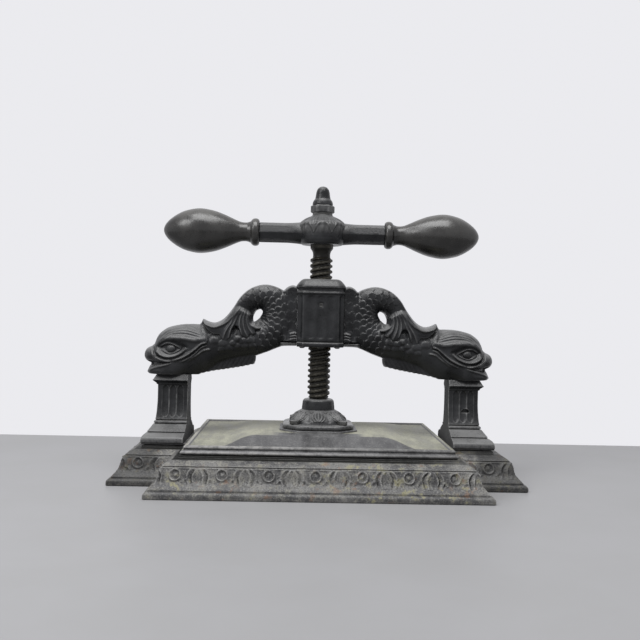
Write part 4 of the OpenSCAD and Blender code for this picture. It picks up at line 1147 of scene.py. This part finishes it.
def box_loop(out, inset, z):
    """One level of the box, with flutes in its front, back and cut corners and the set screw's bore."""
    loop = octagon(BOX_HALF[0], BOX_HALF[1] + out, BOX_CUT, inset, z)
    foot = round_end(z - BOX_FLUTE_Z[0], BOX_FLUTE_ENDS[0])
    shown = min(foot, round_end(BOX_FLUTE_Z[1] - z, BOX_FLUTE_ENDS[1]))
    if shown > 0:
        x = loop[:, 0]
        near = off_centre(x / BOX_FLUTE_PITCH)
        on_front = np.abs(x) < 1.5 * BOX_FLUTE_PITCH
        flat = np.abs(np.abs(loop[:, 1]) - BOX_HALF[1]) < ON_FACE
        depth = BOX_FLUTE_DEPTH * bowl(near * BOX_FLUTE_PITCH / (BOX_FLUTE_HALF * shown)) * on_front * flat
        from_screw = np.hypot(x, z - SET_SCREW_Z)
        bore = fade(from_screw, SET_SCREW_R + SET_SCREW_EDGE, SET_SCREW_R - SET_SCREW_EDGE)
        depth += SET_SCREW_DEPTH * bore * (loop[:, 1] < 0) * flat
        loop[:, 1] -= np.sign(loop[:, 1]) * depth
        x, y = np.abs(loop[:, :2]).T
        slant = sum(BOX_HALF) - BOX_CUT - x - y
        across = (x - y - BOX_HALF[0] + BOX_HALF[1]) / math.sqrt(2)
        cut_in = CORNER_FLUTE_DEPTH * bowl(across / (CORNER_FLUTE_HALF * shown)) * (np.abs(slant) < ON_FACE)
        loop[:, :2] -= np.sign(loop[:, :2]) * cut_in[:, None] / math.sqrt(2)
    return loop


def box_shell():
    loops = [soft_corners(box_loop(*row), BOX_SOFT) for row in fine_line(BOX_STEPS, 0.4, 1.0)]
    bore = [ring_of(loops[0], BORE_R, z) for z in (BOX_HIGH[2], BOX_LOW[2])]
    return loft(loops + bore, shut=False)


def cap_shell():
    steps = fine_line(CAP_STEPS, 0.35, 0.8)
    loops = [soft_corners(octagon(*BOX_HALF, BOX_CUT, inset, z), CAP_SOFT) for inset, z in steps]
    bore = [ring_of(loops[0], r, z) for r, z in CAP_BORE]
    return loft(loops + bore, shut=False)


piece("nut_box_fluted", "frame", "black_iron", [box_shell()], ["crosshead"], SHARP_MOULDED, "box_iron")
piece("nut_box_cap", "frame", "black_iron", [cap_shell()], ["crosshead_cap"], SHARP_MOULDED)


# Platen

PANEL_Z = 49.0
HUMP_TOP = 57.0
HUMP_RISE = HUMP_TOP - PANEL_Z
HUMP_RUN = 46.0
HUMP_BASE = (116.0, 110.0)
HUMP_BOW = 3.7
PLATEN_STEP = 1.6
PAD_HALF = 46.0
PAD_BEYOND = 3.8
FLANGE_HALF = 42.2
FLANGE_CUT = 18.5
# Rim as [inset, height]
RIM = [
    (3.3, 48.4), (3.5, 49.4), (4.0, 50.3), (4.8, 50.9), (5.6, 51.0), (7.2, 50.9), (7.9, 50.4), (8.4, 49.4),
    (9.1, 49.0),
]
# Groove and roll round the plate's edge under the rim as [projection, height]
EDGE_STEPS = [
    (-0.4, 47.9), (-0.8, 47.3), (-0.7, 46.7), (0.2, 46.2), (1.6, 45.7), (2.6, 44.9), (3.2, 44.0), (3.3, 43.3),
    (2.9, 42.6), (1.8, 42.2), (0.6, 42.0),
]
PAD_STEPS = [(0.0, 55.0), (0.0, 58.0), (0.25, 58.5), (0.9, 58.8), (4.0, 58.8)]


def edged_lines(half, near, step):
    """Places from one side to the other, closer together at the edges."""
    inner = half - near[-1]
    middle = np.linspace(-inner, inner, round(2 * inner / step) + 1)[1:-1]
    side = half - np.asarray(near)
    return np.concatenate([-side, middle, side[::-1]])


def platen_top():
    """Rim, panels and hipped middle as grids of x, y and height."""
    half_x, half_y = PLATEN_HIGH[:2]
    insets, heights = np.transpose(RIM)
    xs = edged_lines(half_x, insets, PLATEN_STEP)
    ys = edged_lines(half_y, insets, PLATEN_STEP)
    x, y = np.meshgrid(xs, ys, indexing="ij")
    inset = np.minimum(half_x - np.abs(x), half_y - np.abs(y))
    side = np.clip((HUMP_BASE[0] - np.abs(x)) / HUMP_RUN, 0, 1)
    low = np.clip(2 * side, 0, 1)
    high = np.clip(2 * side - 1, 0, 1)
    hollow = PANEL_Z + HUMP_RISE * side - HUMP_BOW * low * (1 - low) + HUMP_BOW * high * (1 - high)
    front = PANEL_Z + HUMP_RISE * np.clip((HUMP_BASE[1] - np.abs(y)) / HUMP_RUN, 0, 1)
    hump = -smooth_max(-hollow, -front, 0.4)
    hump = -smooth_max(-hump, np.full(x.shape, -HUMP_TOP), 0.3)
    return x, y, np.maximum(np.interp(inset, insets, heights), np.where(inset > insets[-1], hump, 0))


def platen_shell():
    """The top, the groove and roll below its border, and a flat underside."""
    top = np.stack(platen_top(), -1)
    nx, ny = top.shape[:2]
    points = [top.reshape(-1, 3)]
    faces = []
    for i in range(nx - 1):
        for j in range(ny - 1):
            a = i * ny + j
            faces.append((a, a + ny, a + ny + 1, a + 1))
    border = [i * ny for i in range(nx - 1)]
    border += [(nx - 1) * ny + j for j in range(ny - 1)]
    border += [i * ny + ny - 1 for i in range(nx - 1, 0, -1)]
    border += list(range(ny - 1, 0, -1))
    n = len(border)
    rim = points[0][border]
    outermost = np.abs(rim[:, :2]) > PLATEN_HIGH[:2] - RIM[0][0] - 0.1
    way = outermost * np.sign(rim[:, :2])
    upper = border
    start = nx * ny
    for out, height in EDGE_STEPS:
        points.append(level(rim[:, :2] + out * way, height))
        lower = list(range(start, start + n))
        for k in range(n):
            j = (k + 1) % n
            faces.append((lower[k], lower[j], upper[j], upper[k]))
        upper = lower
        start += n
    faces.append(tuple(reversed(upper)))
    return np.vstack(points), faces


def pad_shell():
    cut = FLANGE_CUT + OCTAGON_TURN * PAD_BEYOND
    return loft([octagon(PAD_HALF, PAD_HALF, cut, inset, z, 2.0) for inset, z in soften(PAD_STEPS, 0.3)])


piece("platen_hipped", "platen", "platen_iron", [platen_shell(), pad_shell()], ["platen"], SHARP_MOULDED)


# Bell on the platen

FLANGE_SOFT = 7
FLANGE_STEPS = [
    (1.9, 58.8), (0.7, 59.2), (0.0, 60.4), (0.0, 61.9), (0.7, 63.5), (2.0, 64.5), (3.6, 64.8), (6.0, 64.8),
]
BELL_SIDES = 256
BELL_BORE = 11.0
BELL_TOP = 92.7
BELL_STEPS = [
    (34.6, 62.0), (34.8, 64.8), (34.0, 67.0), (32.2, 69.4), (29.6, 72.0), (26.2, 74.8), (22.6, 77.8),
    (20.4, 79.6), (19.7, 80.2), (19.7, 81.0), (19.5, 83.5), (18.9, 88.6), (18.5, 90.6), (17.2, 92.2),
    (15.6, 92.7), (11.5, 92.7),
]
BELL_LEAVES = 8
BELL_REACH = 11.0
# Lengths up the flare: the leaves' start, their tips, and how far these fall between two leaves
LEAF_START = 4.5
LEAF_TIP = 19.6
LEAF_FALL = 4.0
# Length at which a leaf is widest, and the distance from there at which it would close
LEAF_WIDEST = 7
LEAF_LENGTH = 14
LEAF_RISE = 1.5
LEAF_EDGE = 0.7
LEAF_SINK = 0.8
# Veins of half a leaf as (width, height, line), across the leaf and up the flare
BELL_LINES = [
    (0.8, 1.2, [(0, 2), (0, 9), (0, 17.5)]),
    (0.7, 1.6, [(0.8, 3), (3.4, 8), (4.4, 15.5)]),
    (0.7, 1.5, [(2.4, 2), (6.2, 6.5), (7.8, 12.5)]),
    (0.7, -1.0, [(1.4, 6), (2.2, 10), (2.4, 16)]),
    (0.7, -1.0, [(4.4, 5), (6.0, 9), (6.4, 14)]),
]


def bell_relief(profile, sides):
    """Leaves that climb the flare, with their tips under the collar."""
    x, t = np.meshgrid(petal_share(sides, BELL_LEAVES) * BELL_REACH, arc_length(profile) - LEAF_START)
    tip = LEAF_TIP - LEAF_FALL * (x / BELL_REACH) ** 2
    width = BELL_REACH * np.sqrt(np.clip(1 - ((t - LEAF_WIDEST) / LEAF_LENGTH) ** 2, 0.05, 1))
    lift = with_ridges(LEAF_RISE * rounded(1 - x / width, LEAF_EDGE, 1) - LEAF_SINK, BELL_LINES, x, t)
    return lift * fade(tip - t, 0, 0.9) * fade(t, 0, 2.5)


def bell_shell():
    profile = fine_line(BELL_STEPS, 0.5, 0.6)
    points = revolve(profile, BELL_SIDES, bell_relief(profile, BELL_SIDES))[0]
    loops = points.reshape(len(profile), BELL_SIDES, 3)
    bore = [ring_of(loops[0], BELL_BORE, z) for z in (BELL_TOP - 0.5, BELL_STEPS[0][1])]
    return loft(np.concatenate([loops, bore]), shut=False)


def flange_shell():
    steps = soften(FLANGE_STEPS, 0.6)
    loops = [octagon(FLANGE_HALF, FLANGE_HALF, FLANGE_CUT, inset, z) for inset, z in steps]
    return loft([soft_corners(loop, FLANGE_SOFT) for loop in loops])


piece("platen_bell_leafed", "platen", "black_iron", [flange_shell(), bell_shell()], ["platen_bell"])


# Screw

LEAD = 13.32
CREST_R = 13.5
THREAD_DEPTH = 2.4
THREAD_Z = (93.7, 263.2)
THREAD_STEP = 0.75
THREAD_SIDES = 80
# Radius at the thread's ends and its rise from there
THREAD_END = (11.0, 1.2)
JOURNAL_R = 10.2
TOE_R = 9.2
TOE_GAP = 0.05
HUB_Z = 278.2
# Neck under the hub as [radius, height]
NECK_STEPS = [(10.4, THREAD_Z[1] + 0.4), (10.3, 267.0), (11.2, 270.6), (13.2, 273.4), (13.75, 274.6)]


def screw_shell():
    """The screw with its two-start thread, the journal below it and the neck above it."""
    z = np.arange(THREAD_Z[0], THREAD_Z[1], THREAD_STEP)
    angle = np.arange(THREAD_SIDES) / THREAD_SIDES
    phase = np.abs(off_centre(2 * angle[None, :] - 2 * z[:, None] / LEAD))
    radius = CREST_R - THREAD_DEPTH * fade(phase, 0.16, 0.34)
    ends = np.minimum(z - THREAD_Z[0], THREAD_Z[1] - z)[:, None]
    radius = np.minimum(radius, THREAD_END[0] + THREAD_END[1] * ends)
    thread = [(0.0, height) for height in z]
    toe = SCREW_LOW[2] + TOE_GAP
    below = [(TOE_R, toe), (JOURNAL_R, toe + 1), (JOURNAL_R, THREAD_Z[0] - 0.1)]
    above = np.vstack([smooth_line(NECK_STEPS, 4), [(NECK_STEPS[-1][0], HUB_Z + 2)]])
    profile = np.vstack([below, thread, above])
    relief = np.zeros((len(profile), THREAD_SIDES))
    relief[len(below) : len(below) + len(z)] = radius
    return revolve(profile, THREAD_SIDES, relief)


piece("press_screw_turned", "spindle", "screw_steel", [screw_shell()], ["press_screw"], SHARP_MOULDED)


# Handle

BAR_Z = 292.2
BAR_HALF = 12.0
BAR_FLATS = 11.2
BAR_POINTS = 96
HUB_STEPS = [
    (22.0, 278.2), (24.4, 278.5), (26.4, 280.6), (27.6, 284.0), (28.0, 288.0), (28.0, 298.0), (27.5, 302.0),
    (25.4, 305.6), (21.4, 308.6), (16.4, 311.6), (13.4, 313.2), (12.2, 314.6), (8.0, 314.6),
]
HUB_LOBES = 8
HUB_SIDES = 200
PETAL_TIP = 306.5
PETAL_FALL = 13.0
PETAL_POWER = 2.6
PETAL_DISH = 0.6
BORDER_RISE = 1.1
BORDER_WIDE = 1.8
# Ribs as (height, place across the petal, width)
HUB_RIBS = [(1.6, 0, 0.2), (1.0, 0.56, 0.15)]
# Heights between which the petals' borders, their ribs and the leaf tips between them fade in
BORDER_Z = (287.0, 297.0)
RIB_Z = (289.0, 298.0)
BETWEEN_Z = (313.0, 309.5)
ROOT_R = 13.5
# Bars as [share of the round root, distance from the screw]
BAR_STEPS = [
    (1, 14.0), (1, 23.0), (0.75, 27.0), (0.4, 32.0), (0.15, 37.0), (0, 42.0), (0, 74.6), (-0.3, 75.4),
    (-0.9, 76.0),
]


def hub_relief(profile, sides):
    """Rounded petals that stand round the hub, with smaller leaf tips between them."""
    share, z = np.meshgrid(petal_share(sides, HUB_LOBES), profile[:, 1])
    inside = PETAL_TIP - PETAL_FALL * share**PETAL_POWER - z
    border = BORDER_RISE * crest(inside - BORDER_WIDE, BORDER_WIDE) - PETAL_DISH * fade(inside, 2.0, 7.0)
    ribs = sum(height * crest(share - place, width) for height, place, width in HUB_RIBS)
    ribs = ribs * fade(inside, 0.0, 4.0) * fade(z, *RIB_Z)
    between = 1.5 * crest(1 - share, 0.3) * fade(inside, 1.0, -3.0)
    between = between + 0.5 * np.cos(5 * math.pi * share) * fade(inside, 0.0, -2.5)
    return border * fade(z, *BORDER_Z) + ribs + between * fade(z, *BETWEEN_Z)


def bar_shell():
    """One bar along X, from a round root to its eight-sided end."""
    angle = around(BAR_POINTS)
    octagonal = polygon_radius(angle, 8, BAR_FLATS, BAR_HALF)
    loops = []
    for root, x in fine_line(BAR_STEPS, 0.3, 3.0):
        radius = octagonal + (ROOT_R - octagonal) * max(root, 0) + min(root, 0)
        loops.append(polar(radius, angle, x))
    return turned(loft(loops), ALONG_X, (0, 0, BAR_Z))


def hub_shell():
    profile = fine_line(HUB_STEPS, 0.6, 0.7)
    return revolve(profile, HUB_SIDES, hub_relief(profile, HUB_SIDES))


RIGHT_BAR = bar_shell()
HANDLE = [hub_shell(), RIGHT_BAR, mirrored(RIGHT_BAR)]
piece("handle_cast", "spindle", "black_iron", HANDLE, ["handle"], SHARP_HUB, "handle_iron")

GRIP_SIDES = 96
# Ring and pear of a grip as [radius, distance from the screw]
GRIP_RING = [(9.0, 76.0), (14.6, 76.0), (16.2, 77.6), (16.7, 80.4), (16.2, 83.2), (14.6, 85.0)]
GRIP_PEAR = [
    (13.0, 86.0), (11.4, 91.0), (11.8, 97.6), (14.2, 104.1), (20.0, 117.2), (24.5, 130.3), (26.9, 147.2),
    (24.2, 162.8), (19.6, 173.4), (13.4, 182.3), (8.0, 187.4), (3.6, 189.7), (0.05, 190.4),
]


def grip_shell():
    profile = np.vstack([soften(GRIP_RING, 1.0, 5), smooth_line(GRIP_PEAR, 6)])
    return turned(revolve(profile, GRIP_SIDES), ALONG_X, (0, 0, BAR_Z))


RIGHT_GRIP = grip_shell()
pair("grip", "turned", "spindle", "smooth_iron", RIGHT_GRIP, mirrored(RIGHT_GRIP))


# Acorn nut

ACORN_Z = 317.1
ACORN_SIDES = 72
ACORN_FLATS = 12.7
ACORN_CORNERS = ACORN_FLATS * 1.135
# Six-sided foot as [change of radius, height] and dome as [radius, height], from the nut's foot
HEX_STEPS = [(-1.2, 0.0), (0.0, 0.9), (0.0, 8.0), (-1.3, 9.0)]
ACORN_STEPS = [
    (11.6, 8.6), (12.2, 9.4), (12.3, 10.6), (12.0, 12.4), (11.4, 14.2), (10.3, 15.8), (9.3, 17.2),
    (8.8, 19.4), (8.4, 22.0), (7.9, 25.5), (7.1, 28.0), (5.9, 29.8), (4.0, 31.4), (1.8, 32.1), (0.05, 32.2),
]


def acorn_shells():
    angle = around(ACORN_SIDES)
    hexagon = polygon_radius(angle, 6, ACORN_FLATS, ACORN_CORNERS)
    foot = loft([polar(hexagon + change, angle, z) for change, z in soften(HEX_STEPS, 0.3)])
    dome = revolve(smooth_line(soften(ACORN_STEPS, 0.4), 2), ACORN_SIDES)
    return [moved(shell, (0, 0, ACORN_Z)) for shell in (foot, dome)]


piece("acorn_nut_turned", "spindle", "black_iron", acorn_shells(), ["acorn_nut"])


# Stage, light and camera


def floor_material():
    n = Nodes("pale_floor")
    tone = n.ramp(n.noise(9, 4), 0.3, 0.7)
    n.base = n.mix(tone, colour(0.294, 0.294, 0.30), colour(0.306, 0.306, 0.315))
    return n.surface(0.5, 0.5)


FLOOR_BACK = 0.277
FLOOR_SIZE = 4.0


def make_floor():
    mesh = bpy.data.meshes.new("floor")
    half = FLOOR_SIZE / 2
    near = FLOOR_BACK - FLOOR_SIZE
    mesh.from_pydata(
        [(-half, near, 0), (half, near, 0), (half, FLOOR_BACK, 0), (-half, FLOOR_BACK, 0)], [], [(0, 1, 2, 3)]
    )
    mesh.materials.append(floor_material())
    add_object("floor", mesh)


WORLD_LIGHT = colour(0.27, 0.27, 0.28)
WORLD_SEEN = colour(0.83, 0.83, 0.86)


def make_world():
    """Pale to the camera and in reflections, dimmer as a light."""
    world = bpy.data.worlds.new("studio")
    bpy.context.scene.world = world
    tree = Tree(world)
    path = tree.add("ShaderNodeLightPath").outputs
    seen = path["Is Camera Ray"]
    for name in ("Is Glossy Ray", "Is Transmission Ray"):
        seen = tree.math("MAXIMUM", seen, path[name])
    tree.fill(tree.nodes["Background"], {"Color": tree.mix(seen, WORLD_LIGHT, WORLD_SEEN)})


LIGHT_TARGET = (0, 0, 0.15)
# Lights as (name, place, size, power)
LIGHTS = [
    ("soft_top", (-0.05, -0.55, 1.8), (1.5, 1.1), 34),
    ("side_fill", (-1.25, -0.95, 1.3), (0.8, 0.8), 14),
]


def make_light(name, place, size, power):
    light = bpy.data.lights.new(name, "AREA")
    light.shape = "RECTANGLE"
    light.size, light.size_y = size
    light.energy = power
    lamp = add_object(name, light)
    lamp.location = place
    lamp.rotation_euler = (Vector(LIGHT_TARGET) - Vector(place)).to_track_quat("-Z", "Y").to_euler()


CAMERA_PLACE = (-0.02809, -0.99776, 0.19412)
CAMERA_YAW = 0.0279607
CAMERA_PITCH = 0.006275
CAMERA_ROLL = 0.0227987
CAMERA_FOCAL = 824.18
SENSOR_WIDTH = 36
FRAME_WIDTH = 640


def make_camera():
    """The camera that was fitted to the corners of the base, platen, feet and handle."""
    yaw, pitch, roll = CAMERA_YAW, CAMERA_PITCH, CAMERA_ROLL
    ahead = Vector((math.sin(yaw) * math.cos(pitch), math.cos(yaw) * math.cos(pitch), -math.sin(pitch)))
    right = Vector((math.cos(yaw), -math.sin(yaw), 0))
    down = ahead.cross(right)
    across = math.cos(roll) * right - math.sin(roll) * down
    fall = math.sin(roll) * right + math.cos(roll) * down
    data = bpy.data.cameras.new("photo_camera")
    data.sensor_width = SENSOR_WIDTH
    data.lens = SENSOR_WIDTH * CAMERA_FOCAL / FRAME_WIDTH
    camera = add_object("photo_camera", data)
    turn = Matrix((across, -fall, -ahead)).transposed().to_4x4()
    camera.matrix_world = Matrix.Translation(CAMERA_PLACE) @ turn
    bpy.context.scene.camera = camera


make_floor()
make_world()
for row in LIGHTS:
    make_light(*row)
make_camera()
bpy.context.scene.view_settings.view_transform = "Standard"
